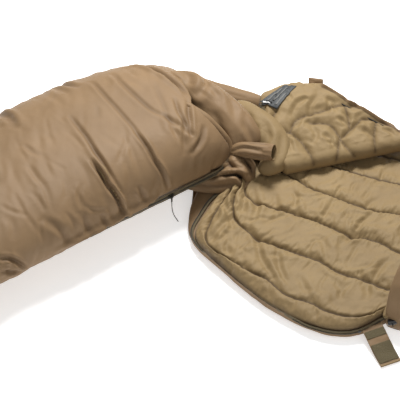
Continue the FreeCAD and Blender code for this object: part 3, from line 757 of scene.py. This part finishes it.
# Loose folds across the lining: points, depth, width, lean.
TORSO_FOLDS = [
    ([(135, -5), (150, -55), (154, -101), (138, -160)], 8, 9, 0.5),
    ([(112, -20), (118, -70), (108, -120)], 6, 8, -0.4),
    ([(127, -158), (151, -208), (167, -284), (202, -360), (221, -406)], 7, 8, 0.5),
    ([(208, -246), (214, -320), (235, -380)], 5, 8, 0.4),
    ([(262, -341), (280, -390), (297, -437)], 5, 9, 0.4),
    ([(370, -234), (405, -196), (445, -139), (472, -112)], 6, 9, 0.4),
    ([(390, -215), (420, -200), (452, -190)], 5, 7, -0.4),
    ([(459, -360), (486, -303), (513, -284)], 6, 9, 0.4),
    ([(40, -44), (73, -101), (86, -139), (84, -190)], 7, 8, 0.5),
    ([(27, -208), (59, -158), (108, -101)], 7, 9, 0.4),
    ([(12, -160), (40, -120), (70, -80)], 5, 7, 0.4),
    ([(202, -36), (208, -93), (200, -140)], 5, 8, 0.4),
    ([(330, -139), (351, -82), (364, -55)], 5, 8, 0.4),
    ([(108, -273), (140, -330), (150, -350)], 5, 9, 0.4),
    ([(181, -360), (194, -437)], 4, 9, 0.4),
    ([(60, -200), (75, -250), (100, -290)], 5, 9, -0.4),
    ([(300, -190), (330, -220), (350, -270)], 4, 9, 0.4),
    ([(250, -60), (262, -110), (255, -150)], 4, 8, -0.3),
    ([(430, -330), (445, -400), (440, -440)], 5, 9, 0.4),
    ([(355, -350), (372, -400), (365, -440)], 4, 9, -0.3),
]
NEIGHBOUR_TOP = 57.0  # the turned-back panel rests above this height


def build_lining(paint):
    """The quilted lining of the back panel, swollen between its sewn lines, with puckers and loose folds."""
    grid = torso_grid()
    flatwise = grid[..., :2].copy()
    grid[..., 2] += 1.2 * rough(flatwise, 26.0, 3, 4.0)
    starts = np.r_[0, np.cumsum(CELLS)]
    gap = np.min([np.linalg.norm(grid[..., :2] - grid[r, :, :2][None], axis=-1) for r in starts], axis=0)
    # Painted shade along the sewn lines.
    sewn = np.exp(-((gap / 3.0) ** 2))
    lining = grid_object("torso_lining", grid[:, ::-1], [paint["lining"]], groove=sewn[:, ::-1])
    rows = grid.shape[0]
    held = {int(r) * COLUMNS + c for r in starts for c in range(COLUMNS)}
    held |= {r * COLUMNS + c for r in range(rows) for c in (0, COLUMNS - 1)}
    blow_up(lining, sorted(held), 2.0, 0.02, 9)
    cloth = np.array([tuple(v.co) for v in lining.data.vertices]).reshape(rows, COLUMNS, 3)
    # Puckers run out of every sewn line, and the loose cloth takes longer folds.
    beside = plane(np.arange(COLUMNS) * 3.9, gap * 0.3)
    detail = 4.2 * ridged(beside, 13.0, 2, 6.0) * np.exp(-gap / 17) * (1 - np.exp(-gap / 3))
    fine = loose_folds(5, 130, (-20, -480), (700, 150), math.radians(-119), 0.6, (25, 85), (1.6, 3.8), (4, 7))
    detail += crease(flatwise, fine) * (1 - np.exp(-gap / 6))
    detail += (crease(flatwise, TORSO_FOLDS) * (1 - 0.6 * np.exp(-gap / 6))
               + 0.7 * ridged(flatwise, 46.0, 2, 17.0))
    cloth[..., 2] += MM * detail[:, ::-1]
    covered = slice(int(starts[5]), None)
    cloth[covered, :, 2] = np.minimum(cloth[covered, :, 2], NEIGHBOUR_TOP * MM)
    lining.data.vertices.foreach_set("co", cloth.ravel())
    subdivide(lining)
    finish_piece(lining, None, ("back_lining", "draft_tube"))
    blend_at_neck(lining)


def build_back_shell(paint, zip_row, outer):
    """The brown shell under the lining, from the zip round its outer edge and on to the far side."""
    far = smooth_line(SEAMS[-1], SHELL_COLUMNS)
    inward = unit(far - outer) * np.array([1, 1, 0])
    layers = [zip_row + np.array([0, 0, -1.5])]
    layers.append(0.55 * zip_row + 0.45 * outer + np.array([0, 0, 2.0]))
    layers.append(outer)
    for inset, level in ((-1, 14), (2, 8), (8, 3.5), (18, 1.5)):
        row = outer + inward * inset
        row[:, 2] = level
        layers.append(row)
    far_low = far - inward * 16
    for t in np.linspace(0.08, 0.92, 10):
        row = layers[6] * (1 - t) + far_low * t
        row[:, 2] = 1.2
        layers.append(row)
    for inset, level in ((16, 1.5), (4, 4), (-5, 12), (-8, 22)):
        row = far - inward * inset
        row[:, 2] = level
        layers.append(row)
    layers.append(far)
    shell = np.array(layers)
    ripple = 2.2 * rough(shell[2:7] * np.array([1, 1, 2.0]), 34.0, 3, 2.0)
    shell[2:7, :, :2] += (ripple[..., None] * unit(inward[:, :2])[None])
    shell[1, :, 2] += 2.5 * rough(shell[1, :, :2], 22.0, 3, 6.0)
    body = grid_object("torso_shell", shell, [paint["shell"]])
    subdivide(body)
    finish_piece(body, None, ("back_shell", "back_fill"))
    blend_at_neck(body)


def build_torso_zip(paint, zip_row, outer):
    """The zip half between the lining's edge and the shell's, from beside the slider to the neck."""
    keep = slice(11, None)
    outward = unit(outer - zip_row)
    outward[:, 2] = np.minimum(outward[:, 2], -0.3)
    outward = unit(outward)
    lifted = np.cross(outward, unit(np.gradient(zip_row, axis=0)))
    lifted *= np.sign(lifted[:, 2:3])
    level = unit((outer - zip_row) * np.array([1, 1, 0]))
    aside = np.linalg.norm(outer - zip_row, axis=-1, keepdims=True)
    share = np.minimum(0.5, 7 / aside)
    middle = (zip_row * (1 - share) + outer * share + level * 4.0 + np.array([0, 0, 2.8]))[keep]
    tape = strap("torso_zip_tape", middle, outward[keep], 11, TAPE_THICKNESS, [paint["tape"]], wave=1.2,
                 wave_size=24.0, seed=54.0)
    finish_piece(tape, "bag", ("zip_tape_back",))
    edge = middle + outward[keep] * 2.5 + lifted[keep] * 1.6
    chain = teeth("torso_zip_teeth", edge, (0, 0, 1), paint["coil"])
    finish_piece(chain, "bag", ("zip_chain_back",))


# ---------------------------------------------------------------- front panel, turned back
# Points on the panel are (t, w): t along the crease that it turns back over, w away from it.
CREASE = (135.0, 24.0, 79.0)
CREASE_TURN = math.radians(16.2)
ROOT = 22.0  # radius of the bend at the crease
SLOPE = 0.24
FLAP_ENDS = (74, 445)
LABEL_CORNERS = [(80, 178), (119, 147), (192, 206), (159, 218)]
LABEL_BARS = [(0.12, 0.8), (0.2, 0.9), (0.1, 0.62)]
FLAP_WIDTH = [
    (72, 190), (80, 205), (98, 214), (117, 219), (164, 229), (203, 224), (241, 213), (266, 200), (308, 154),
    (372, 84), (427, 25), (447, 6),
]
FLAP_SEAMS = [
    [(60, 98), (98, 86), (134, 75), (155, 41), (167, 3), (172, -30)],
    [(195, 92), (246, 74), (259, 39), (258, 26), (235, -30)],
    [(260, 26), (272, -6), (288, -30)],
    [(260, 26), (292, 45), (322, 63), (340, 72), (383, 52), (425, 13)],
    [(243, 119), (272, 126), (303, 124), (330, 112)],
    [(115, 146), (98, 126), (81, 106)],
    [(292, 45), (300, 75), (303, 124)],
    [(345, -30), (352, 10), (372, 58)],
    [(134, 75), (165, 110), (243, 119)],
]
HEM_START = 255.0  # from here on the shell is turned over the edge, round the drawcord
HEM_WIDTH = 19.0
HEM_RISE = 9.5


def from_flap(t, w, up):
    c, s = math.cos(CREASE_TURN), math.sin(CREASE_TURN)
    spots = np.broadcast_arrays(CREASE[0] + t * c - w * s, CREASE[1] + t * s + w * c, CREASE[2] + up)
    return np.stack(spots, axis=-1)


def flap_width(t):
    line = catmull(FLAP_WIDTH)
    return np.interp(t, line[:, 0], line[:, 1])


def flap_height(points):
    """Height of the quilted top over its plane, at (t, w) points."""
    puff = quilt(points, FLAP_SEAMS, 15.0, 14.0)
    edge = flap_width(points[..., 0]) - points[..., 1]
    puff = puff * (1 - np.exp(-np.clip(edge, 0, None) / 16)) + 2.2 * rough(points, 30.0, 3, 5.0)
    begun = (np.clip((points[..., 0] - HEM_START + 8) / 16, 0, 1)
             * np.clip((440 - points[..., 0]) / 90, 0.2, 1))
    puff = puff + HEM_RISE * begun * np.exp(-((edge - HEM_WIDTH / 2) / 7.0) ** 2)
    return (puff + 1.5 * crease(points, FLAP_FOLDS) + crease(points, FLAP_FINE)
            + 0.7 * ridged(points, 36.0, 2, 45.0))


FLAP_FOLDS = [
    ([(150, 120), (175, 150), (215, 160)], 3.5, 7, 0.4),
    ([(200, 100), (210, 140), (240, 165)], 3, 7, 0.4),
    ([(110, 60), (125, 40), (120, 10)], 3.5, 7, 0.4),
    ([(180, 20), (200, 50), (190, 80)], 3, 8, 0.3),
    ([(270, 90), (285, 75), (290, 60)], 4, 6, 0.4),
    ([(215, 45), (235, 30), (245, 5)], 3, 7, 0.4),
    ([(310, 40), (335, 30), (350, 10)], 3, 7, 0.4),
    ([(255, 150), (280, 140), (300, 138)], 3, 7, 0.4),
    ([(90, 165), (70, 130), (80, 90)], 4, 8, 0.3),
    ([(380, 30), (400, 12), (405, -10)], 3, 6, 0.4),
]


FLAP_FINE = loose_folds(13, 70, (70, 0), (450, 210), math.radians(80), 0.9, (20, 65), (1.4, 3.4), (4, 6.5))


def flap_top(t, w):
    """A point on the quilted top."""
    return from_flap(t, w, ROOT + SLOPE * np.clip(w, 0, None) + flap_height(plane(t, w)))


def build_flap(paint):
    columns = np.linspace(*FLAP_ENDS, 110)
    width = flap_width(columns)
    root = np.radians(np.linspace(-84, 84, 13))
    top = np.r_[np.linspace(0, 0.9, 50, endpoint=False), np.linspace(0.9, 1, 10)]
    ring = []
    for angle in root:
        reach = ROOT * (1.0 + 0.04 * np.cos(angle))
        w = -reach * math.cos(angle)
        up = reach * math.sin(angle)
        arc = plane(columns, -ROOT * (math.pi / 2 - angle))
        bump = quilt(arc, FLAP_SEAMS, 12.0, 12.0) + 1.5 * rough(arc, 22.0, 3, 5.0)
        bump *= math.sin((angle + math.pi / 2) / 2) ** 2
        ring.append(from_flap(columns, w - bump * math.cos(angle), up + bump * math.sin(angle)))
    w = top[:, None] * width
    ring.extend(flap_top(np.broadcast_to(columns, w.shape), w))
    crest = ring[-1]
    low = -ROOT + 1.0
    top_edge = crest[:, 2] - CREASE[2]
    outer = unit(np.stack([-np.gradient(crest[:, 1]), np.gradient(crest[:, 0])], axis=-1))
    lining_rings = len(ring)
    for k in np.linspace(0.12, 1, 8):
        bulge = 7 * math.sin(math.pi * k ** 0.8)
        row = crest.copy()
        row[:, :2] += outer * bulge
        row[:, 2] = CREASE[2] + top_edge * (1 - k) + low * k
        row[:, :2] += outer * (2.0 * rough(plane(columns, 40 * k), 24.0, 3, 8.0))[:, None]
        ring.append(row)
    share = np.linspace(0.97, 0.0, 34)[:, None]
    under = plane(columns, share * width)
    dents = 3.5 + 2.5 * rough(under, 40.0, 3, 47.0) + 0.8 * crease(under, FLAP_FINE)
    ring.extend(from_flap(under[..., 0], under[..., 1], low + np.clip(dents, 0, 9) * np.sin(np.pi * share)))
    grid = np.array(ring).transpose(1, 0, 2)
    middle = grid.mean(axis=1, keepdims=True)
    end = np.clip(np.minimum((columns - 72) / 26, (447 - columns) / 12), 0.03, 1)
    shrink = np.sqrt(1 - (1 - end) ** 2)[:, None, None]
    grid = middle + (grid - middle) * shrink
    ring_index = np.arange(grid.shape[1])[None, :]
    index = np.broadcast_to((ring_index >= lining_rings - 1).astype(int), grid.shape[:2]).copy()
    hemmed = (width - w < HEM_WIDTH) & (columns > HEM_START)
    index[:, len(root):lining_rings] |= hemmed.T.astype(int)
    across = np.zeros((grid.shape[1], len(columns)))
    across[:len(root)] = (-ROOT * (math.pi / 2 - root))[:, None]
    across[len(root):lining_rings] = w
    # Painted shade in the dips between the quilted puffs and along the hem's sewn line.
    gaps = 1 - quilt(plane(columns, across), FLAP_SEAMS, 1.0, 3.2)
    painted_shade = 0.9 * gaps.T * (ring_index < lining_rings - 1)
    hem_line = np.exp(-((width - w - HEM_WIDTH) / 1.6) ** 2) * (columns > HEM_START)
    painted_shade[:, len(root):lining_rings] = np.maximum(painted_shade[:, len(root):lining_rings], 0.8 * hem_line.T)
    flap = grid_object("front_panel", grid, [paint["lining"], paint["shell"]], wrap=True, index=index,
                       caps=True, groove=painted_shade)
    subdivide(flap)
    finish_piece(flap, "front_flap", ("flap_lining", "flap_shell", "flap_fill"))
    build_flap_zip(paint)
    build_label(paint)
    build_neck_tabs(paint)


def build_flap_zip(paint):
    """The zip half along the panel's free edge at the waist."""
    w = np.linspace(10, 172, 60)
    edge = flap_top(np.full_like(w, 82.0), w) + np.array([0, 0, 1.5])
    aside = np.tile(unit(from_flap(1.0, 0.0, 0.0) - from_flap(0.0, 0.0, 0.0)), (60, 1))
    tape = strap("flap_zip_tape", edge, aside, 12, TAPE_THICKNESS, [paint["tape"]], wave=1.0, wave_size=24.0,
                 seed=57.0)
    finish_piece(tape, "front_flap", ("zip_tape_flap",))
    chain = teeth("flap_zip_teeth", edge - aside * 5 + np.array([0, 0, 1.4]), (0, 0, 1), paint["coil"])
    finish_piece(chain, "front_flap", ("zip_chain_flap",))


def between(corners, u, v):
    """The spot a share u along and v across a four-cornered patch."""
    a, b, c, d = (np.array(corner, float) for corner in corners)
    return (a * (1 - u) + b * u) * (1 - v) + (d * (1 - u) + c * u) * v


def patch(name, corners, lift, cells, material, thickness):
    """A flat piece laid on the quilted top between four (t, w) corners."""
    spots = between(corners, np.linspace(0, 1, cells)[:, None, None], np.linspace(0, 1, cells)[None, :, None])
    grid = flap_top(spots[..., 0], spots[..., 1]) + np.array([0, 0, lift])
    level = grid[..., 2].mean()
    # The patch is stiffer than the cloth under it, so it takes up only part of the cloth's waves.
    grid[..., 2] = 0.5 * grid[..., 2] + 0.5 * (level + (grid[..., 2] - level) * 0.4) + 1.0
    made = grid_object(name, grid, [material])
    solidify(made, thickness, 1.0)
    return made


def build_label(paint):
    """The care label, plain bars where its lines of print would be, and the two short ties beside it."""
    label = patch("care_label_patch", LABEL_CORNERS, 2.0, 22, paint["label"], 0.8)
    finish_piece(label, "front_flap", ("care_label",))
    for k, (low, high) in enumerate(LABEL_BARS):
        at = 0.2 + 0.27 * k
        quad = [between(LABEL_CORNERS, u, v)
                for u, v in ((at, low), (at + 0.1, low), (at + 0.1, high), (at, high))]
        bar = patch(f"label_bar_{k}", quad, 3.4, 12, paint["print"], 0.5)
        finish_piece(bar, "front_flap")
    for name, ends, material, nodes in (
            ("label_tie_white", ((88, 176), (96, 171), (106, 168)), "white", ("label_tie",)),
            ("label_tie_black", ((80, 168), (92, 166), (100, 174), (112, 168)), "black_cord", ())):
        line = smooth_line([(t, w, 0) for t, w in ends], 14)
        places = flap_top(line[:, 0], line[:, 1]) + np.array([0, 0, 6.0])
        side = unit(np.cross(np.gradient(places, axis=0), np.array([0, 0, 1.0])))
        tie = strap(name, places, side, 5.0, 0.9, [paint[material]], wave=2.0, wave_size=9.0, seed=61.0,
                    lanes=3)
        finish_piece(tie, "front_flap", nodes)


def build_neck_tabs(paint):
    """The two layers of the small folded tab at the panel's far corner, leaning back over the edge."""
    for k, (name, node_name) in enumerate((("neck_tab_near", "neck_tab_front"),
                                           ("neck_tab_far", "neck_tab_back"))):
        low, high = (np.array(corner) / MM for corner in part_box(node_name))
        climb = np.linspace(0, high[2] - low[2], 16)
        lean = 2.5 * np.sin(climb / 12 + k) + 0.6 * climb
        middle = (low + high) / 2 + np.array([9.0, 0, 0]) + np.outer(lean, [0, 1, 0])
        middle[:, 2] = low[2] + 0.5 * climb
        side = np.tile(unit(np.array([high[0] - low[0], -(high[1] - low[1]) * 0.5, 0.0])), (16, 1))
        tab = strap(name, middle, side, high[0] - low[0] + 6, 2.4, [paint["shell"]], wave=2.6, wave_size=16.0,
                    seed=63.0 + k)
        finish_piece(tab, "front_flap", (node_name,))


# ---------------------------------------------------------------- waist
CLOTH_THICKNESS = 2.5
# Folds round the roll: how far along it in hundredths and degrees from the side that faces up and out.
ROLL_FOLDS = [
    ([(22, -70), (30, -30), (36, 20)], 5, 12, 0.4),
    ([(34, -80), (42, -40), (46, 0), (44, 30)], 6, 10, 0.5),
    ([(40, -60), (50, -30), (62, -20)], 4, 10, -0.4),
    ([(58, -70), (68, -30), (84, 0)], 5, 13, 0.4),
    ([(62, 20), (72, 50), (84, 60)], 4, 12, 0.4),
    ([(74, -50), (84, -20), (96, -10)], 5, 10, 0.5),
    ([(24, 40), (40, 60), (56, 50)], 4, 14, 0.3),
    ([(8, -20), (18, 0), (26, 40)], 4, 14, 0.3),
]
BAND_FOLDS = [
    ([(20, 70), (34, 40), (50, 50)], 5, 12, 0.4),
    ([(45, -20), (60, 10), (72, 60)], 5, 12, 0.4),
    ([(60, -50), (72, -20), (88, 10)], 5, 12, 0.4),
    ([(30, 0), (42, 20), (52, 10)], 4, 11, -0.3),
    ([(70, 40), (82, 70), (94, 60)], 4, 12, 0.3),
]
TONGUE_FOLDS = [
    ([(15, 20), (45, -10), (80, 0)], 4, 13, 0.5),
    ([(40, 60), (70, 40), (95, 45)], 4, 11, 0.3),
    ([(30, -70), (60, -50), (90, -60)], 3, 12, 0.3),
]
# Folds in the gathered shell under the roll, in (x, y + z).
GATHER_FOLDS = [
    ([(52, 96), (84, 96), (104, 94), (122, 64)], 16, 7, 0.5),
    ([(80, 106), (98, 98), (112, 84)], 15, 9, 0.2),
    ([(88, 182), (76, 153), (89, 126), (113, 100), (132, 66)], 9, 8, 0.5),
    ([(113, 153), (133, 126), (143, 88)], 9, 7, 0.4),
    ([(-16, 97), (27, 88), (58, 92)], 7, 8, 0.4),
    ([(10, 135), (50, 118), (80, 132)], 7, 8, 0.4),
    ([(100, 172), (122, 150), (136, 120)], 6, 6, -0.4),
    ([(-10, 62), (40, 56), (90, 60), (118, 48)], 4, 9, 0.4),
]


def build_waist(paint):
    """The folded front panel: the big roll, the lining's band beside it, and the smaller folds round them."""
    brown = [paint["shell"]]
    roll = sweep(
        "waist_roll",
        [(-150, 266, 168), (-94, 262, 188), (-34, 246, 196), (6, 206, 193), (41, 178, 181), (77, 144, 165),
         (105, 114, 147), (128, 92, 125), (146, 76, 105)],
        [22, 31, 38, 47, 51, 52, 50, 44, 32],
        brown, around=56, along=110, flat=0.62, facing=(0, -0.45, 0.89), ripple=4.0, ripple_size=42.0,
        seed=1.0, folds=ROLL_FOLDS)
    finish_piece(roll, "bag", ("waist_fold",))
    band = sweep(
        "waist_band",
        [(76, 246, 104), (106, 220, 128), (142, 182, 134), (178, 140, 126), (202, 98, 110), (205, 62, 99),
         (190, 42, 91), (158, 26, 82)],
        [8, 24, 34, 41, 42, 38, 31, 15],
        [paint["lining"]], around=44, along=90, flat=0.75, ripple=3.5, ripple_size=30.0, seed=4.0,
        folds=BAND_FOLDS)
    finish_piece(band, "bag", ())
    ridge = sweep(
        "waist_ridge",
        [(-56, 138, 205), (-38, 130, 232), (-14, 116, 226), (14, 101, 212), (40, 88, 192), (62, 80, 166),
         (77, 74, 140), (84, 62, 116)],
        [3, 7, 10, 12, 11, 11, 10, 8],
        brown, around=20, along=90, ripple=2.2, ripple_size=14.0, seed=7.0)
    finish_piece(ridge, "bag")
    tongue = sweep(
        "waist_tongue",
        [(74, 78, 112), (90, 68, 124), (114, 58, 134), (146, 48, 140), (174, 42, 141), (199, 30, 150)],
        [11, 17, 21, 23, 24, 22],
        [paint["shell"], paint["lining"]], around=40, along=64, flat=0.66, ripple=2.6, ripple_size=20.0,
        seed=11.0, folds=TONGUE_FOLDS, round_ends=(True, False))
    solidify(tongue, CLOTH_THICKNESS, -1.0, 1)
    subdivide(tongue)
    finish_piece(tongue, "bag")
    hump = sweep(
        "far_hump",
        [(-110, 276, 130), (-60, 292, 122), (0, 300, 112), (44, 304, 102), (100, 298, 92), (157, 288, 82),
         (230, 274, 60), (300, 262, 42)],
        [20, 36, 38, 32, 27, 24, 21, 14],
        brown, around=32, along=90, flat=0.9, ripple=4.0, ripple_size=30.0, seed=20.0)
    finish_piece(hump, "bag", ())
    build_gathers(brown)


def build_gathers(brown):
    """The crumpled shell between the roll and the lining's corner."""
    top = smooth_line([(0, 62, 92), (46, 78, 108), (86, 84, 118), (126, 70, 106), (149, 50, 84)], 84)
    low = smooth_line([(-34, 0, 42), (16, -18, 46), (62, -22, 48), (100, -22, 48), (128, -14, 48),
                       (146, 6, 50)], 84)
    v = np.linspace(0, 1, 76)[:, None]
    u = np.linspace(0, 1, 84)[None, :]
    grid = top[None] * (1 - v[..., None]) + low[None] * v[..., None]
    bulge = 24 * np.sin(np.pi * v) ** 0.6 * np.sin(np.pi * u) ** 0.45
    lean = unit(np.array([0, -0.6, 0.8]))
    grid = grid + bulge[..., None] * lean
    slanted = plane(grid[..., 0], grid[..., 1] + grid[..., 2])
    folded = crease(slanted, GATHER_FOLDS)
    height = folded + 2.5 * rough(slanted, 24.0, 3, 71.0)
    height *= np.clip(np.minimum(v, 1 - v) * 9, 0, 1) * np.clip(np.minimum(u, 1 - u) * 10, 0, 1)
    grid = grid + height[..., None] * lean
    # Painted shade in the deeper folds.
    gathers = grid_object("waist_gathers", grid, brown, groove=np.clip(-folded / 11, 0, 0.9))
    solidify(gathers, CLOTH_THICKNESS)
    subdivide(gathers)
    finish_piece(gathers, "bag", ("waist_gather",))


# ---------------------------------------------------------------- hood
HOOD_OUTER = [(340, 1), (350, 22), (352, 52), (347, 85), (338, 112), (322, 138), (300, 158), (272, 176),
              (244, 189), (230, 191)]
HOOD_INNER = [(221, 184), (238, 168), (268, 152), (293, 132), (306, 106), (314, 78), (312, 56)]


HOOD_SHIFT = 6.5
FLOOR_RADIUS = 312.0
HOOD_SEAMS = [
    [(0, -110), (150, -100), (300, -60)],
    [(0, 20), (160, 15), (312, 0)],
    [(0, 150), (140, 140), (280, 90)],
    [(190, -250), (215, 0), (190, 250)],
]


def hood_point(radius, angle, up, along=0.0):
    """A point round the hood; angle 0 is its far end and a quarter turn either way is the neck line."""
    x, y, up = at_neck(radius * np.cos(angle) + along, radius * np.sin(angle), up)
    return np.stack(np.broadcast_arrays(x, y, up), axis=-1)


def build_hood(paint):
    """The padded wall round the head, its rolled rim, the quilted floor, the sole and the collar."""
    outer = smooth_line([(r, 0, z) for r, z in HOOD_OUTER], 34)
    inner = smooth_line([(r, 0, z) for r, z in HOOD_INNER], 26)
    section = np.vstack([outer, inner])
    # Halfway between the outside and the inside: the wall closes onto it at its two ends.
    middle = (section + np.vstack([resample(inner[::-1], 34), resample(outer[::-1], 26)])) / 2
    columns = len(section)
    angles = np.radians(np.linspace(-90, 90, 150))
    leans = (0.05, 0.4, 0.75)
    rows = [(angles[0], lean) for lean in leans]
    rows += [(angle, 1.0) for angle in angles]
    rows += [(angles[-1], lean) for lean in leans[::-1]]
    grid = []
    for angle, lean in rows:
        degrees = math.degrees(angle)
        closed = math.sqrt(1 - (1 - lean) ** 2)
        shape = middle + (section - middle) * closed
        arc = plane(degrees * 5.2, np.linspace(0, 420, columns))
        share = np.clip(shape[:, 2] / 190, 0, 1)
        ripple = 4.0 * rough(arc, 60.0, 3, 12.0) + 2.0 * rough(arc * np.array([2.4, 0.5]), 30.0, 2, 15.0)
        gather = 2.6 * np.sin(degrees * 0.9) * share**3
        flare = 14 * math.exp(-(((degrees + 90) / 25) ** 2))
        radius = shape[:, 0] + flare + (ripple + gather) * share**0.5 * closed
        grid.append(hood_point(radius, angle, shape[:, 2], HOOD_SHIFT - 6.0 * (1 - lean)))
    grid = np.array(grid)
    index = np.broadcast_to((np.arange(columns) >= 36).astype(int)[None], grid.shape[:2])
    wall = grid_object("hood_wall", grid[:, ::-1], [paint["shell"], paint["lining"]], index=index[:, ::-1])
    subdivide(wall)
    finish_piece(wall, "hood", ("hood_wall_shell", "hood_wall_fill", "hood_wall_lining"))

    turn = np.radians(np.linspace(-89, 89, 25))
    rim_line = hood_point(226.0, turn, 187.0, HOOD_SHIFT)
    rim = sweep("hood_rim", rim_line, [7.5] * 25, [paint["shell"]], around=20, along=260, ripple=2.4,
                ripple_size=9.0, seed=37.0)
    finish_piece(rim, "hood", ("hood_drawcord",))

    lines = []
    for across in np.linspace(-FLOOR_RADIUS, FLOOR_RADIUS, 61):
        depth = math.sqrt(FLOOR_RADIUS**2 - across**2) + 2
        x = depth * np.linspace(0, 1, 56)
        flatwise = plane(x, across)
        aside = FLOOR_RADIUS - abs(across)
        puff = quilt(flatwise, HOOD_SEAMS, 11.0, 20.0) + 1.8 * rough(flatwise, 28.0, 3, 31.0)
        edge = np.minimum(aside, depth - x)
        up = 49 + puff * (1 - math.exp(-aside / 18)) + 8 * np.exp(-np.clip(edge, 0, None) / 20)
        lines.append(np.stack(at_neck(x, across, up), axis=-1))
    floor = grid_object("hood_floor", np.array(lines)[:, ::-1], [paint["lining"]])
    subdivide(floor)
    finish_piece(floor, "hood", ("hood_floor_lining", "hood_floor_fill"))
    turn = np.radians(np.linspace(-90, 90, 80))
    base = np.array([hood_point(radius, turn, 1.0) for radius in (340, 338, 330, 200, 60, 1)])
    sole = grid_object("hood_sole", base, [paint["shell"]])
    solidify(sole, 2.0, 1.0)
    finish_piece(sole, "hood", ("hood_floor_shell",))

    line = np.linspace(at_neck(18, -262, 66), at_neck(18, 262, 66), 9)
    collar = sweep("neck_tube", line, [9, 12, 11, 12.5, 11.5, 12.5, 11, 12, 9], [paint["lining"]], around=24,
                   along=150, flat=0.9, ripple=2.6, ripple_size=18.0, seed=41.0)
    finish_piece(collar, "hood", ("neck_collar",))


# ---------------------------------------------------------------- closure and cords
def build_closure(paint):
    """The hook-and-loop tab."""
    middle = smooth_line([(449, -490, 27), (456, -505, 28), (471, -540, 20), (488, -579, 9), (505, -617, 4)],
                         60)
    side = np.tile(unit(np.array([55.0, 26.0, 0.0])), (60, 1))
    tab = strap("tab_base", middle, side, 60, 2.0, [paint["shell"]], wave=1.4, wave_size=26.0, seed=81.0,
                lanes=12)
    finish_piece(tab, "tab", ("closure_tab",))
    raised = np.array([0.0, 0.25, 1.0])
    for name, run, width, material, slot, node_name in (
            ("tab_loop", slice(11, 22), 57, "hook", "hook_tape", "tab_loop_strip"),
            ("tab_hook", slice(29, 56), 57, "hook", "hook_tape", "tab_hook_patch"),
            ("tab_hem", slice(57, 60), 60, "lining", "lining_fabric", "tab_end_hem")):
        piece = strap(name, middle[run] + raised * 1.9, side[run], width, 1.6, [paint[material]], wave=0.8,
                      wave_size=22.0, seed=82.0, lanes=12)
        finish_piece(piece, "tab", (node_name,))


def build_neck_end(paint):
    """The end of the collar, bunched up beside the cord lock."""
    path = [(548, -380, 58), (532, -408, 62), (514, -438, 60), (501, -466, 54), (490, -488, 44)]
    bunch = sweep("neck_end", path, [10, 14, 13, 12, 8], [paint["lining"]], around=28, along=70, flat=0.9,
                  ripple=4.5, ripple_size=13.0, seed=91.0)
    finish_piece(bunch, "bag", ())


def build_slider_cord(paint):
    route = [
        (-0.0757, -0.0898, 0.0826), (-0.0757, -0.0901, 0.0660), (-0.0739, -0.0913, 0.0480),
        (-0.0684, -0.0928, 0.0300), (-0.0584, -0.0943, 0.0130),
    ]
    data = bpy.data.curves.new("slider_cord", "CURVE")
    data.dimensions = "3D"
    spline = data.splines.new("NURBS")
    spline.points.add(len(route) - 1)
    for spot, place in zip(spline.points, route):
        spot.co = (*place, 1)
    spline.order_u = 3
    spline.use_endpoint_u = True
    data.resolution_u = 16
    data.bevel_depth = 0.0013
    data.bevel_resolution = 4
    data.use_fill_caps = True
    data.materials.append(paint["pull_cord"])
    cord = bpy.data.objects.new("slider_cord", data)
    scene.collection.objects.link(cord)
    finish_piece(cord, "slider_pull", ("pull_cord",))


KEPT_NODES = {
    "main_slider_body": "metal", "main_pull_tab": "metal", "cord_lock_body": "plastic",
    "cord_lock_plunger": "plastic", "lock_cord": "black_cord", "flap_neck_cord": "black_cord",
    "zip_top_stop": "coil",
}


def paint_kept_nodes(paint):
    for name, key in KEPT_NODES.items():
        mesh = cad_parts[name].data
        mesh.materials.clear()
        mesh.materials.append(paint[key])


build_camera()
paint = build_materials()
build_slider_cord(paint)
build_stage()
build_leg(paint)
build_leg_zip(paint)
build_lining(paint)
zip_row, shell_edge = smooth_line(ZIP_LINE, SHELL_COLUMNS), smooth_line(SHELL_EDGE, SHELL_COLUMNS)
build_back_shell(paint, zip_row, shell_edge)
build_torso_zip(paint, zip_row, shell_edge)
build_waist(paint)
build_flap(paint)
build_hood(paint)
build_closure(paint)
build_neck_end(paint)
paint_kept_nodes(paint)
